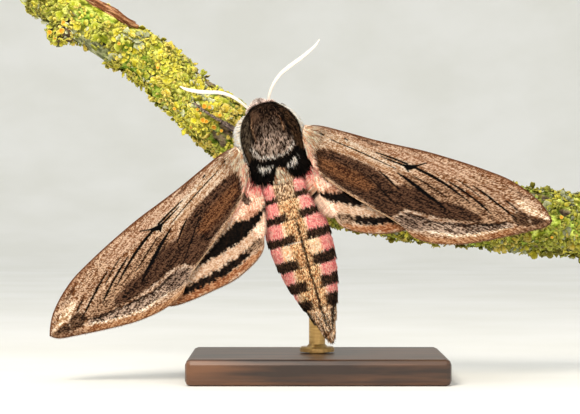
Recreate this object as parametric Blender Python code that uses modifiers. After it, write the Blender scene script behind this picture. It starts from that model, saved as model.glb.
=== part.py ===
"""Privet hawk moth, life size, gripping a short cut length of branch on a plain display stand.

Metres, +Z up. The origin is the middle of the stand's foot. The moth's back faces -Y, with its head up.
Sizes below are in millimetres. The moth is modelled in a frame of its own: x to its right, y towards
its head and z out of its back, with the middle of the thorax at the origin.
"""

import math
import random

import bmesh
import bpy
import numpy as np
from mathutils import Euler, Matrix, Vector

MM = 0.001
GAP = 0.3

# Where the moth hangs: the middle of its thorax, and how far its body leans from the vertical
MOTH_AT = (-9.0, -12.8, 47.7)
BODY_LEAN_DEG = 14.0

# Body, as sections along y: y, half width, top z, bottom z
THORAX = [
    (6.15, 0.0, 2.2, 2.2), (5.75, 2.2, 3.7, 0.4), (4.9, 3.6, 4.8, -1.8), (3.6, 4.9, 5.6, -3.8),
    (2.0, 5.9, 6.15, -5.1), (0.2, 6.45, 6.45, -5.8), (-1.8, 6.55, 6.5, -6.0), (-3.8, 6.2, 6.3, -5.9),
    (-5.6, 5.85, 6.0, -5.5), (-7.2, 5.6, 5.5, -4.9), (-8.4, 4.8, 4.8, -4.1), (-9.2, 3.3, 3.5, -2.9),
    (-9.5, 0.0, 0.3, 0.3),
]
TEGULA_RISE = 0.075
TEGULA_AT_DEG = 48.0
TEGULA_SPREAD_DEG = 17.0
ABDOMEN_FRONT = -7.6
ABDOMEN_TIP = -41.0
ABDOMEN_HALF_WIDTH = [
    (-7.6, 4.3), (-10.0, 5.15), (-12.7, 5.5), (-16.7, 5.9), (-20.9, 6.15), (-25.9, 5.65),
    (-30.4, 4.65), (-34.1, 3.4), (-37.3, 2.25), (-39.8, 1.35), (-41.0, 0.7),
]
SEGMENT_ENDS = (-12.7, -16.7, -20.9, -25.9, -30.4, -34.1, -37.3)
SEGMENT_STEP = 0.14
SEGMENT_EDGE = 0.22
ABDOMEN_HEIGHT = 0.9
ABDOMEN_Z = -0.45
ABDOMEN_BEND = 1.7

# Hair locks, flat and tapered. A collar of them lies back over the abdomen's root, in rows given as y of
# the roots, y of the tips, lift of the tips and number; a few more close the abdomen's tip
COLLAR_ROWS = [(-7.9, -10.4, 0.5, 10), (-6.9, -9.4, 0.9, 8)]
COLLAR_ARC_DEG = (40.0, 140.0)
COLLAR_WIDTH = 0.85
TIP_LOCKS = 7
TIP_LOCK_LENGTH = 2.1
TIP_LOCK_WIDTH = 0.42
LOCK_FLATNESS = 0.42
LOCK_BOW = 0.12
LOCK_ROOT_DEPTH = 0.35
LOCK_SEED = 11

# Head, turned a little to the moth's left and tucked under the front of the thorax
HEAD_AT = (-0.75, 3.9, -2.7)
HEAD_HALF = (2.5, 3.0, 2.7)
HEAD_TURN_DEG = 6.0
EYE_RADIUS = 1.7
EYE_AT = (1.75, 0.2, -0.2)
PALP_HALF = (0.72, 1.0, 1.75)
PALP_AT = (0.8, 1.75, -1.75)
PALP_LEAN_DEG = 24.0

# Antennae: root to tip, as x, y, z and radius
ANTENNAE = {
    "left": [
        (-1.9, 4.1, -0.9, 0.26), (-3.0, 5.5, 0.0, 0.26), (-4.15, 7.05, 0.9, 0.28), (-5.7, 8.6, 1.6, 0.32),
        (-7.5, 9.6, 2.2, 0.36), (-9.3, 10.1, 2.5, 0.38), (-11.1, 10.65, 2.6, 0.38), (-12.85, 11.4, 2.5, 0.33),
        (-13.75, 11.95, 2.3, 0.25), (-14.5, 12.6, 2.0, 0.1),
    ],
    "right": [
        (0.8, 4.6, -0.7, 0.26), (1.15, 5.95, 0.4, 0.26), (1.65, 7.2, 1.1, 0.28), (2.9, 8.85, 1.9, 0.32),
        (4.6, 10.25, 2.5, 0.36), (6.45, 11.15, 2.8, 0.38), (8.8, 12.1, 2.9, 0.38), (10.6, 12.95, 2.8, 0.33),
        (12.2, 13.85, 2.5, 0.25), (13.3, 14.85, 2.1, 0.1),
    ],
}

# Wings in their own frame: u out along the wing from its hinge, v towards the hind margin
FOREWING = {
    "lead": [(0, -0.6), (3, -1.55), (8, -2.1), (13.1, -2.55), (18, -3.2), (22.6, -3.85), (27.5, -4.25),
             (32.5, -4.5), (37.8, -4.55), (40.5, -4.35), (43.9, -3.6), (47.1, -2.4), (49.2, -1.0),
             (50.5, 0.2)],
    "outer": [(50.5, 0.2), (49.9, 1.4), (48.8, 2.4), (47.1, 3.5), (43.7, 5.7), (40.1, 7.9), (36.3, 10.0),
              (32.1, 11.6), (28.6, 12.25), (26.4, 12.2)],
    "inner": [(0, 1.2), (1.1, 2.7), (2.7, 4.8), (4.6, 6.4), (7.4, 7.7), (10.8, 8.55), (15, 9.4),
              (20.7, 10.35), (23.9, 11.1), (26.4, 12.2)],
    # each vein's share of the way from the fore to the hind margin, and how far out it starts
    "veins": [(0.07, 0.0), (0.2, 0.0), (0.36, 0.45), (0.52, 0.45), (0.67, 0.0), (0.81, 0.3), (0.94, 0.0)],
    "stations": 18,
    "hinge": {"left": (6.7, -1.5), "right": (6.3, -0.7)},
    "sweep_deg": {"left": 30.5, "right": 34.2},
}
HINDWING = {
    "lead": [(0, -1.0), (5, -2.4), (12, -3.3), (20, -3.6), (26, -2.6), (30, -0.4), (31.2, 1.6)],
    "outer": [(31.2, 1.6), (31.0, 4.0), (29.6, 6.4), (26.4, 8.4), (22.6, 10.2), (18, 12.1), (13.1, 12.8),
              (10.2, 12.4), (8.4, 11.0)],
    "inner": [(0, 1.4), (1.6, 3.9), (3.8, 6.6), (6.1, 8.9), (8.4, 11.0)],
    "veins": [(0.1, 0.0), (0.26, 0.0), (0.42, 0.35), (0.57, 0.35), (0.7, 0.0), (0.85, 0.0)],
    "stations": 12,
    "hinge": {"left": (5.4, -5.2), "right": (5.4, -4.7)},
    "sweep_deg": {"left": 35.0, "right": 27.5},
}
MEMBRANE = 0.5
VEIN_DEPTH = 0.85
VEIN_HALF_WIDTH = 0.34
WING_ROOT_Z = 2.6
WING_DROOP = 0.06
WING_ROLL = 0.28
WING_ROLL_FADE = 0.45
WING_ROLL_REACH = 12.0
HINDWING_BELOW = 1.0
HINDWING_SINK = 0.06

# Legs: hip and knee beside the thorax, then the foot as places on the branch: world x, the angle round
# it from its front (positive upwards), and lift off the bark
LEGS = {
    "foreleg_left": ((-1.7, 2.8, -4.7), (-4.7, 0.3, -5.9), [(-18.6, 3), (-21.0, -1.5), (-23.4, -3.5)]),
    "foreleg_right": ((1.7, 3.0, -4.6), (3.6, 4.8, -6.6), [(-6.2, 60), (-7.6, 74), (-9.4, 84)]),
    "midleg_left": ((-1.9, -1.0, -5.4), (-5.6, -2.8, -6.6), [(-15.2, -36), (-14.4, -52), (-13.0, -66)]),
    "midleg_right": ((1.9, -1.0, -5.4), (6.4, -0.6, -6.9), [(0.2, 36), (2.2, 50), (4.4, 58)]),
    "hindleg_left": ((-1.8, -4.2, -5.2), (-4.6, -8.2, -7.4), [(-9.8, -44), (-8.6, -58), (-7.0, -70)]),
    "hindleg_right": ((1.8, -4.2, -5.2), (6.0, -6.6, -5.4), [(4.4, -4), (7.2, -16), (9.8, -26)]),
}
HIP_RADIUS = 0.95
KNEE_RADIUS = 0.8
SHIN_RADIUS = 0.62
TOE_RADIUS = 0.3
FOOT_LIFT = 0.95
CLAW_LENGTH = 0.75

# The perch: its middle line as x, z and radius, all at y = 0
BRANCH = [
    (-56.8, 78.3, 4.8), (-52.2, 74.8, 4.9), (-46.8, 70.7, 5.0), (-40.2, 66.3, 5.0), (-34.4, 63.1, 5.3),
    (-28.7, 58.8, 5.8), (-23.3, 53.8, 5.8), (-17.7, 49.0, 6.0), (-11.0, 43.7, 5.7), (-3.4, 38.8, 5.8),
    (4.2, 35.5, 6.1), (15.6, 33.5, 6.4), (25.1, 32.7, 6.8), (35.3, 31.9, 7.0), (44.5, 30.8, 6.7),
    (52.1, 29.8, 6.6),
]
BRANCH_STATIONS = 46
BARK_RELIEF = 0.2
BARK_LUMP = 3.2
PLAIN_ENDS = 4.0
# a strip of dead bark that has peeled along the upper edge, and a knot below it
PEELED_BARK = [
    (-46.5, 0.0, 74.8, 0.8), (-43.3, -0.3, 73.2, 1.15), (-39.2, -0.3, 71.2, 1.1), (-35.0, 0.0, 68.7, 0.6),
]
KNOT_AT = (-49.9, -1.2, 67.6)
KNOT_HALF = (3.0, 2.8, 2.2)

# Stand
BASE = (50.0, 38.0, 5.0)
BASE_EDGE = 1.0
ROD_RADIUS = 1.6
ROD_FOOT_Z = 1.2
ROD_SOCKET = 3.4
FLANGE_RADIUS = 3.4
FLANGE_HEIGHT = 1.0


def clear_scene():
    for old in list(bpy.data.objects):
        bpy.data.objects.remove(old, do_unlink=True)


def finish(name, hex_colour, roughness, metallic=0.0):
    """A Principled material; the colour is given as an sRGB hex value."""
    made = bpy.data.materials.new(name)
    made.use_nodes = True
    shader = made.node_tree.nodes["Principled BSDF"]
    linear = [((int(hex_colour[i:i + 2], 16) / 255 + 0.055) / 1.055) ** 2.4 for i in (0, 2, 4)]
    shader.inputs["Base Color"].default_value = (*linear, 1.0)
    shader.inputs["Roughness"].default_value = roughness
    shader.inputs["Metallic"].default_value = metallic
    return made


def through(points, count):
    """A smooth curve through the points (Catmull-Rom), read at evenly spaced places."""
    points = np.array(points, float)
    padded = np.vstack([2 * points[0] - points[1], points, 2 * points[-1] - points[-2]])
    steps = np.linspace(0, 1, 16, endpoint=False)[:, None]
    fine = []
    for i in range(len(points) - 1):
        a, b, c, d = padded[i:i + 4]
        fine.append(0.5 * (2 * b + (c - a) * steps + (2 * a - 5 * b + 4 * c - d) * steps**2
                           + (3 * b - a - 3 * c + d) * steps**3))
    fine = np.vstack([*fine, points[-1:]])
    walked = np.concatenate([[0], np.cumsum(np.linalg.norm(np.diff(fine, axis=0), axis=1))])
    wanted = np.linspace(0, walked[-1], count)
    return np.column_stack([np.interp(wanted, walked, column) for column in fine.T])


def add_object(name, data, group, parent=None):
    made = bpy.data.objects.new(name, data)
    group.objects.link(made)
    made.parent = parent
    return made


def mesh_object(name, shape, material, group, parent=None):
    """An object from a bmesh in millimetres, shaded smooth with sharp edges kept."""
    bmesh.ops.scale(shape, vec=(MM, MM, MM), verts=shape.verts)
    bmesh.ops.recalc_face_normals(shape, faces=shape.faces)
    data = bpy.data.meshes.new(name)
    shape.to_mesh(data)
    shape.free()
    data.materials.append(material)
    data.shade_smooth()
    data.set_sharp_from_angle(angle=math.radians(50))
    return add_object(name, data, group, parent)


def ball(sides, rings, place):
    """A UV sphere whose every point is moved by place(ring, angle). Ring 0 and ring + 1 are its poles."""
    shape = bmesh.new()
    bmesh.ops.create_uvsphere(shape, u_segments=sides, v_segments=rings + 1, radius=1.0)
    for vert in shape.verts:
        ring = round(math.acos(max(-1.0, min(1.0, vert.co.z))) / math.pi * (rings + 1))
        vert.co = place(ring, math.atan2(vert.co.y, vert.co.x))
    return shape


def ellipsoid(sides, rings, centre, half, turn=None):
    turn = turn or Matrix.Identity(3)

    def place(ring, angle):
        down = math.pi * ring / (rings + 1)
        unit = Vector((math.sin(down) * math.cos(angle), math.sin(down) * math.sin(angle), math.cos(down)))
        return Vector(centre) + turn @ Vector(a * b for a, b in zip(unit, half))

    return ball(sides, rings, place)


def tube(name, points, material, group, parent=None, resolution=1):
    """A curve with a bevel, through points of x, y, z and radius in millimetres."""
    data = bpy.data.curves.new(name, "CURVE")
    data.dimensions = "3D"
    data.bevel_depth = MM
    data.bevel_resolution = resolution
    data.use_fill_caps = True
    data.twist_mode = "MINIMUM"
    line = data.splines.new("POLY")
    line.points.add(len(points) - 1)
    for point, (x, y, z, radius) in zip(line.points, points):
        point.co = (x * MM, y * MM, z * MM, 1)
        point.radius = radius
    data.materials.append(material)
    return add_object(name, data, group, parent)


def as_mesh(obj):
    """Replaces a curve, or an object with modifiers, by the mesh that it evaluates to."""
    bpy.context.view_layer.update()
    graph = bpy.context.evaluated_depsgraph_get()
    data = bpy.data.meshes.new_from_object(obj.evaluated_get(graph))
    name, group, parent = obj.name, obj.users_collection[0], obj.parent
    bpy.data.objects.remove(obj, do_unlink=True)
    shape = bmesh.new()
    shape.from_mesh(data)
    bmesh.ops.remove_doubles(shape, verts=shape.verts, dist=0.00001)
    bmesh.ops.recalc_face_normals(shape, faces=shape.faces)
    shape.to_mesh(data)
    shape.free()
    data.shade_smooth()
    data.set_sharp_from_angle(angle=math.radians(50))
    return add_object(name, data, group, parent)


def keep_largest(obj):
    """Leaves only the closed surface that holds the most, so that no sealed hollow or scrap stays."""
    shape = bmesh.new()
    shape.from_mesh(obj.data)
    unseen = set(shape.faces)
    surfaces = []
    while unseen:
        surface, front = set(), {unseen.pop()}
        while front:
            surface |= front
            edges = {edge for face in front for edge in face.edges if edge.is_manifold}
            front = {face for edge in edges for face in edge.link_faces} - surface
        unseen -= surface
        surfaces.append(surface)
    surfaces.sort(key=lambda faces: sum(f.calc_center_median().dot(f.normal) * f.calc_area() for f in faces))
    loose = [face for surface in surfaces[:-1] for face in surface]
    bmesh.ops.delete(shape, geom=loose, context="FACES")
    shape.to_mesh(obj.data)
    shape.free()
    return obj


def boolean(obj, operation, others):
    """Joins or cuts obj by a collection of closed meshes, which it then removes."""
    tools = bpy.data.collections.new("tools")
    bpy.context.scene.collection.children.link(tools)
    for other in others:
        for old in list(other.users_collection):
            old.objects.unlink(other)
        tools.objects.link(other)
        other.hide_render = True
        other.display_type = "WIRE"
    change = obj.modifiers.new(operation.lower(), "BOOLEAN")
    change.operation = operation
    change.operand_type = "COLLECTION"
    change.collection = tools
    bpy.context.view_layer.update()
    graph = bpy.context.evaluated_depsgraph_get()
    data = bpy.data.meshes.new_from_object(obj.evaluated_get(graph))
    obj.modifiers.clear()
    obj.data = data
    for other in others:
        bpy.data.objects.remove(other, do_unlink=True)
    bpy.data.collections.remove(tools)
    return keep_largest(obj)


def swollen(core, parent):
    """A closed mesh grown by the gap, to cut a neighbour with."""
    shape = bmesh.new()
    shape.from_mesh(core)
    shape.normal_update()
    moved = [vert.co + vert.normal * vert.calc_shell_factor() * GAP * MM for vert in shape.verts]
    for vert, place in zip(shape.verts, moved):
        vert.co = place
    data = bpy.data.meshes.new("grown")
    shape.to_mesh(data)
    shape.free()
    return add_object("grown", data, bpy.context.scene.collection, parent)


def trim(obj, *cores):
    """Cuts obj back by the gap from each neighbour's plain form, so that they meet face to face."""
    for core in cores:
        boolean(obj, "DIFFERENCE", [swollen(core, obj.parent)])
    return obj


def make_thorax(skin, group, parent):
    """An egg of fur with a raised flap, the tegula, down each side of the back."""

    def place(ring, angle):
        y, half, top, bottom = THORAX[ring]
        across, up = math.cos(angle), math.sin(angle)
        height = top if up > 0 else bottom
        middle = (top + bottom) / 2 if half == 0 else 0.4
        off_middle = (abs(math.degrees(angle) - 90) - TEGULA_AT_DEG) / TEGULA_SPREAD_DEG
        flap = math.exp(-off_middle ** 2) if up > 0 else 0.0
        grown = 1 + TEGULA_RISE * flap * math.sin(math.pi * ring / (len(THORAX) - 1))
        return Vector((half * across * grown, y, middle + (height - middle) * abs(up) * grown))

    return mesh_object("thorax", ball(24, len(THORAX) - 2, place), skin, group, parent)


def abdomen_middle(y):
    """Where the abdomen's middle line is at this y: it bends a little to the moth's right."""
    back = (y - ABDOMEN_FRONT) / (ABDOMEN_TIP - ABDOMEN_FRONT)
    return Vector((ABDOMEN_BEND * back**1.4, y, ABDOMEN_Z))


def lock(root, tip, out, width, skin, group, parent):
    """One flat lock of hair, widest a third of the way along and pointed at its tip."""
    along = (tip - root).normalized()
    side = along.cross(out).normalized()
    out = side.cross(along)
    widths = (0.0, 0.8, 1.0, 0.62, 0.0)

    def place(ring, angle):
        share = ring / (len(widths) - 1)
        middle = root.lerp(tip, share) + out * LOCK_BOW * math.sin(math.pi * share)
        half = width * widths[ring]
        return middle + side * half * math.cos(angle) + out * half * LOCK_FLATNESS * math.sin(angle)

    return mesh_object("lock", ball(6, len(widths) - 2, place), skin, group, parent)


def add_collar(thorax, abdomen, skin, group, parent):
    """Joins the collar of hair to the thorax, and lets it into the abdomen that it lies over."""
    seeded = random.Random(LOCK_SEED)
    table = np.array(THORAX)[::-1]
    widths = np.array(ABDOMEN_HALF_WIDTH)[::-1]
    locks = []
    for root_y, tip_y, lift, count in COLLAR_ROWS:
        half, top = (float(np.interp(root_y, table[:, 0], table[:, k])) - LOCK_ROOT_DEPTH for k in (1, 2))
        over = float(np.interp(tip_y, widths[:, 0], widths[:, 1])) + lift
        for i in range(count):
            low, high = COLLAR_ARC_DEG
            angle = math.radians(low + (high - low) * (i + 0.5) / count + seeded.uniform(-2, 2))
            out = Vector((math.cos(angle), 0, math.sin(angle)))
            root = Vector((half * out.x, root_y + 0.5 * abs(out.x) ** 3, top * out.z))
            tip = Vector((over * out.x * 0.95, 0, over * ABDOMEN_HEIGHT * out.z))
            tip += abdomen_middle(tip_y + 1.6 * abs(out.x) ** 3 + seeded.uniform(-0.25, 0.25))
            locks.append(lock(root, tip, out, COLLAR_WIDTH, skin, group, parent))
    boolean(abdomen, "DIFFERENCE", [swollen(piece.data, parent) for piece in locks])
    boolean(thorax, "UNION", locks)


def add_tip_tuft(abdomen, skin, group, parent):
    locks = []
    for i in range(TIP_LOCKS):
        angle = 2 * math.pi * i / TIP_LOCKS
        out = Vector((math.cos(angle), 0, math.sin(angle)))
        root = abdomen_middle(ABDOMEN_TIP + TIP_LOCK_LENGTH * 0.6) + out * 0.45
        tip = abdomen_middle(ABDOMEN_TIP - TIP_LOCK_LENGTH * 0.4) + out * 0.3
        locks.append(lock(root, tip, out, TIP_LOCK_WIDTH, skin, group, parent))
    boolean(abdomen, "UNION", locks)


def make_abdomen(skin, group, parent):
    """A tapering body whose segments overlap like tiles, each a little prouder at its hind edge."""
    stations = [ABDOMEN_FRONT, -9.0, -10.8]
    for end, following in zip(SEGMENT_ENDS, [*SEGMENT_ENDS[1:], ABDOMEN_TIP]):
        stations += [end + SEGMENT_EDGE, end - SEGMENT_EDGE, (end + following) / 2]
    stations += [-40.2, ABDOMEN_TIP]
    widths = np.array(ABDOMEN_HALF_WIDTH)[::-1]

    def place(ring, angle):
        pole = ring in (0, len(stations) + 1)
        y = stations[min(max(ring - 1, 0), len(stations) - 1)]
        half = 0.0 if pole else float(np.interp(y, widths[:, 0], widths[:, 1]))
        for end in SEGMENT_ENDS:
            if abs(y - end) < SEGMENT_EDGE * 1.01:
                half += math.copysign(SEGMENT_STEP, y - end)
        side = Vector((half * math.cos(angle), 0, half * ABDOMEN_HEIGHT * math.sin(angle)))
        return abdomen_middle(y) + side

    return mesh_object("abdomen", ball(20, len(stations), place), skin, group, parent)


def make_head(skin, eye_skin, palp_skin, group, parent):
    """Head, eyes and the two upturned palps that cover the mouth. Returns their plain forms."""
    turn = Euler((0, 0, math.radians(HEAD_TURN_DEG))).to_matrix()
    middle = Vector(HEAD_AT)
    head = mesh_object("head", ellipsoid(18, 11, middle, HEAD_HALF, turn), skin, group, parent)
    cores = [head.data]
    for side, sign in (("left", -1), ("right", 1)):
        eye_at = middle + turn @ Vector((sign * EYE_AT[0], EYE_AT[1], EYE_AT[2]))
        eye = mesh_object(f"eye_{side}", ellipsoid(14, 9, eye_at, (EYE_RADIUS,) * 3), eye_skin, group, parent)
        trim(head, eye.data)
        lean = Euler((math.radians(-PALP_LEAN_DEG), 0, 0)).to_matrix()
        palp_at = middle + turn @ Vector((sign * PALP_AT[0], PALP_AT[1], PALP_AT[2]))
        palp = mesh_object(
            f"palp_{side}", ellipsoid(10, 7, palp_at, PALP_HALF, turn @ lean), palp_skin, group, parent)
        trim(palp, cores[0])
        cores += [eye.data, palp.data]
    return cores


def make_antennae(skin, cores, group, parent):
    for side, points in ANTENNAE.items():
        made = as_mesh(tube(f"antenna_{side}", through(points, 16), skin, group, parent, resolution=2))
        trim(made, *cores)


def forewing_frame(side):
    """The forewing's hinge and its directions u and v, seen from the back with x taken outwards."""
    sweep = math.radians(FOREWING["sweep_deg"][side])
    hinge = np.array(FOREWING["hinge"][side])
    out = np.array([math.cos(sweep), -math.sin(sweep)])
    return hinge, out, np.array([out[1], -out[0]])


def wing_height(x, y, side):
    """Height of the forewing's surface over the moth's own x, y plane, x taken outwards."""
    hinge, out, back = forewing_frame(side)
    u, v = (np.array([x, y]) - hinge) @ out, (np.array([x, y]) - hinge) @ back
    roll = WING_ROLL * (1 - WING_ROLL_FADE * min(1.0, max(0.0, u / 50.5)))
    return WING_ROOT_Z - WING_DROOP * u + roll * WING_ROLL_REACH * math.tanh(v / WING_ROLL_REACH)


def make_wing(name, wing, side, below, sink, skin, group, parent):
    """A membrane with its veins raised on both faces. A grid is laid from root to outer margin, its lines
    along the veins and at their feet, then thickened most along the veins."""
    sign = -1 if side == "left" else 1
    lead, inner = through(wing["lead"], 60), through(wing["inner"], 60)
    outer = through(wing["outer"], 60)
    share = np.linspace(0, 1, 60)
    sweep = math.radians(wing["sweep_deg"][side])
    hinge = np.array(wing["hinge"][side])

    def at(table, where):
        return np.array([np.interp(where, share, column) for column in table.T])

    def patch(s, t):
        """The point at share s from root to margin and t from the fore to the hind edge."""
        root = (1 - t) * lead[0] + t * inner[0]
        corners = (1 - s) * root + s * ((1 - t) * outer[0] + t * outer[-1])
        return (1 - t) * at(lead, s) + t * at(inner, s) + (1 - s) * root + s * at(outer, t) - corners

    def lines(s):
        """The grid's places across the wing at s, each with its share of a vein's depth."""
        width = max(1.0, float(np.linalg.norm(patch(s, 0) - patch(s, 1))))
        foot = min(VEIN_HALF_WIDTH / width, 0.05)
        placed = [(0.0, 0.0)]
        for where, start in wing["veins"]:
            raised = float(np.clip((s - start) / 0.08, 0, 1)) if start else 1.0
            placed += [(where - foot, 0.0), (where, raised), (where + foot, 0.0)]
        return [*placed, (1.0, 0.0)]

    count = wing["stations"]
    across = len(wing["veins"]) * 3 + 2
    shape = bmesh.new()
    bmesh.ops.create_grid(shape, x_segments=across - 1, y_segments=count - 1, size=1.0)
    deform = shape.verts.layers.deform.verify()
    for vert in shape.verts:
        column = round((vert.co.x + 1) / 2 * (across - 1))
        s = (vert.co.y + 1) / 2
        t, raised = lines(s)[column]
        u, v = patch(s, t)
        x = hinge[0] + u * math.cos(sweep) - v * math.sin(sweep)
        y = hinge[1] - u * math.sin(sweep) - v * math.cos(sweep)
        z = wing_height(x, y, side) - below - sink * max(0.0, v)
        vert.co = Vector((sign * x, y, z))
        vert[deform][0] = raised
    bmesh.ops.triangulate(shape, faces=shape.faces)
    made = mesh_object(name, shape, skin, group, parent)
    made.vertex_groups.new(name="veins")
    thick = made.modifiers.new("thickness", "SOLIDIFY")
    thick.thickness = VEIN_DEPTH * MM
    thick.offset = 0.0
    thick.vertex_group = "veins"
    thick.thickness_vertex_group = MEMBRANE / VEIN_DEPTH
    return as_mesh(made)


def branch_line(x):
    """The branch's middle z, radius and direction at this world x."""
    table = np.array(BRANCH)
    smooth = through(table, 200)
    z, radius = (float(np.interp(x, smooth[:, 0], smooth[:, k])) for k in (1, 2))
    ahead, behind = (float(np.interp(x + d, smooth[:, 0], smooth[:, 1])) for d in (1, -1))
    return z, radius, Vector((2, 0, ahead - behind)).normalized()


def on_branch(x, angle_deg, lift):
    """A point above the bark, in the world's millimetres: angle 0 is the front, 90 the upper side."""
    z, radius, along = branch_line(x)
    upward = Vector((-along.z, 0, along.x))
    turn = math.radians(angle_deg)
    out = Vector((0, -1, 0)) * math.cos(turn) + upward * math.sin(turn)
    return Vector((x, 0, z)) + out * (radius + lift)


def make_leg(name, hip, knee, places, skin, cores, moth, group):
    """Thigh, shin and a foot of five short joints that lies along the branch and ends in two claws."""
    to_moth = moth.matrix_world.inverted()
    foot = [to_moth @ (on_branch(x, angle, FOOT_LIFT) * MM) / MM for x, angle in places]
    hip, knee = Vector(hip), Vector(knee)
    ankle = foot[0]
    leg = [
        (*hip, HIP_RADIUS), (*hip.lerp(knee, 0.5), HIP_RADIUS * 1.02), (*hip.lerp(knee, 0.92), KNEE_RADIUS),
        (*knee.lerp(ankle, 0.12), KNEE_RADIUS), (*knee.lerp(ankle, 0.55), SHIN_RADIUS),
        (*knee.lerp(ankle, 0.92), SHIN_RADIUS * 0.9),
    ]
    toes = through([tuple(p) for p in foot], 11)
    for i, point in enumerate(toes):
        leg.append((*point, TOE_RADIUS * (1.25 if i % 2 else 0.92)))
    made = as_mesh(tube(name, leg, skin, group, moth, resolution=1))
    tip, before = Vector(toes[-1]), Vector(toes[-3])
    heading = (tip - before).normalized()
    inward = (to_moth @ (on_branch(places[-1][0], places[-1][1], 0) * MM) / MM - tip).normalized()
    spread = heading.cross(inward).normalized()
    claws = []
    for sign in (-1, 1):
        mid = tip + heading * CLAW_LENGTH * 0.6 + spread * sign * 0.3
        end = tip + heading * CLAW_LENGTH + spread * sign * 0.45 + inward * 0.25
        points = [(*(tip - heading * 0.2), 0.26), (*mid, 0.22), (*end, 0.1)]
        claws.append(as_mesh(tube("claw", points, skin, group, moth, resolution=0)))
    boolean(made, "UNION", claws)
    return trim(made, *cores)


def make_perch(bark, group):
    """A short cut length of crooked branch, its bark lumpy with lichen."""
    middle = through(BRANCH, BRANCH_STATIONS)
    made = as_mesh(tube("perch_branch", [(x, 0, z, r) for x, z, r in middle], bark, group, resolution=5))
    shape = bmesh.new()
    shape.from_mesh(made.data)
    for vert in shape.verts:
        place = vert.co / MM
        z, _, _ = branch_line(place.x)
        out = Vector((0, place.y, place.z - z))
        wave = math.sin(place.x / BARK_LUMP) * math.sin(place.y * 1.7 / BARK_LUMP + 1.0)
        wave += 0.7 * math.sin(place.x * 2.3 / BARK_LUMP + 0.6) * math.cos(place.z * 2.1 / BARK_LUMP)
        if middle[0][0] + PLAIN_ENDS < place.x < middle[-1][0] - PLAIN_ENDS:
            vert.co += out.normalized() * wave * BARK_RELIEF * MM
    shape.to_mesh(made.data)
    shape.free()
    peeled = as_mesh(tube("peeled", through(PEELED_BARK, 9), bark, group, resolution=1))
    knot = mesh_object("knot", ellipsoid(10, 6, KNOT_AT, KNOT_HALF), bark, group)
    return boolean(made, "UNION", [peeled, knot])


def make_stand(branch, wood, metal, group):
    """A flat bevelled base with a rod let into it, whose flange covers the hole."""
    block = bmesh.new()
    bmesh.ops.create_cube(block, size=1.0)
    bmesh.ops.scale(block, vec=BASE, verts=block.verts)
    bmesh.ops.translate(block, vec=(0, 0, BASE[2] / 2), verts=block.verts)
    base = mesh_object("stand_base", block, wood, group)
    edge = base.modifiers.new("edge", "BEVEL")
    edge.width = BASE_EDGE * MM
    edge.segments = 2
    edge.limit_method = "ANGLE"
    base = as_mesh(base)
    z, radius, along = branch_line(0)
    underside = z - radius / along.x
    top = underside + ROD_SOCKET
    lip = BASE[2] + GAP
    profile = [
        (0, top), (ROD_RADIUS * 0.85, top), (ROD_RADIUS, top - 0.4), (ROD_RADIUS, lip + FLANGE_HEIGHT + 0.5),
        (ROD_RADIUS + 0.5, lip + FLANGE_HEIGHT), (FLANGE_RADIUS - 0.3, lip + FLANGE_HEIGHT),
        (FLANGE_RADIUS, lip + FLANGE_HEIGHT - 0.3), (FLANGE_RADIUS, lip), (ROD_RADIUS, lip),
        (ROD_RADIUS, ROD_FOOT_Z), (0, ROD_FOOT_Z),
    ]
    shape = bmesh.new()
    verts = [shape.verts.new((x, 0, z)) for x, z in profile]
    for a, b in zip(verts, verts[1:]):
        shape.edges.new((a, b))
    rod = mesh_object("stand_rod", shape, metal, group)
    turned = rod.modifiers.new("turned", "SCREW")
    turned.steps = turned.render_steps = 20
    turned.use_merge_vertices = True
    turned.merge_threshold = 0.00001
    rod = as_mesh(rod)
    hole = ROD_RADIUS + GAP
    holes = ((base, ROD_FOOT_Z - GAP, BASE[2] * 2), (branch, underside - BRANCH[0][2], top + GAP))
    for piece, low, high in holes:
        bore = bmesh.new()
        bmesh.ops.create_cone(bore, cap_ends=True, segments=20, radius1=hole, radius2=hole, depth=high - low)
        bmesh.ops.translate(bore, vec=(0, 0, (low + high) / 2), verts=bore.verts)
        boolean(piece, "DIFFERENCE", [mesh_object("bore", bore, metal, group)])


def make_moth(group):
    """The moth, hung on an empty that stands for its own frame."""
    moth = add_object("moth_frame", None, group)
    # the moth's y goes up and its z comes out of the picture, then the body leans over
    moth.matrix_world = (
        Matrix.Translation(Vector(MOTH_AT) * MM)
        @ Matrix.Rotation(math.radians(-BODY_LEAN_DEG), 4, "Y")
        @ Matrix.Rotation(math.radians(90), 4, "X")
    )
    bpy.context.view_layer.update()
    brown_fur = finish("brown_fur", "3A302A", 0.9)
    banded = finish("banded_scales", "B98A72", 0.85)
    grey_fur = finish("grey_fur", "A8968C", 0.9)
    eye_skin = finish("eye", "1D1512", 0.12)
    antenna_skin = finish("antenna", "EFE6DC", 0.6)
    wing_scales = finish("wing_scales", "8A6A52", 0.8)
    rosy_scales = finish("rosy_scales", "D8AE98", 0.8)
    leg_scales = finish("leg_scales", "5E4E48", 0.8)

    thorax = make_thorax(brown_fur, group, moth)
    abdomen = make_abdomen(banded, group, moth)
    chest, belly = thorax.data, abdomen.data
    trim(abdomen, chest)
    add_collar(thorax, abdomen, brown_fur, group, moth)
    add_tip_tuft(abdomen, banded, group, moth)
    face = make_head(grey_fur, eye_skin, grey_fur, group, moth)
    trim(thorax, *face)
    make_antennae(antenna_skin, (chest, face[0]), group, moth)
    for side in ("left", "right"):
        fore = make_wing(f"forewing_{side}", FOREWING, side, 0.0, 0.0, wing_scales, group, moth)
        hind = make_wing(
            f"hindwing_{side}", HINDWING, side, HINDWING_BELOW, HINDWING_SINK, rosy_scales, group, moth)
        trim(fore, chest)
        trim(hind, chest, belly)
    for name, (hip, knee, places) in LEGS.items():
        make_leg(name, hip, knee, places, leg_scales, (chest, *face), moth, group)


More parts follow.
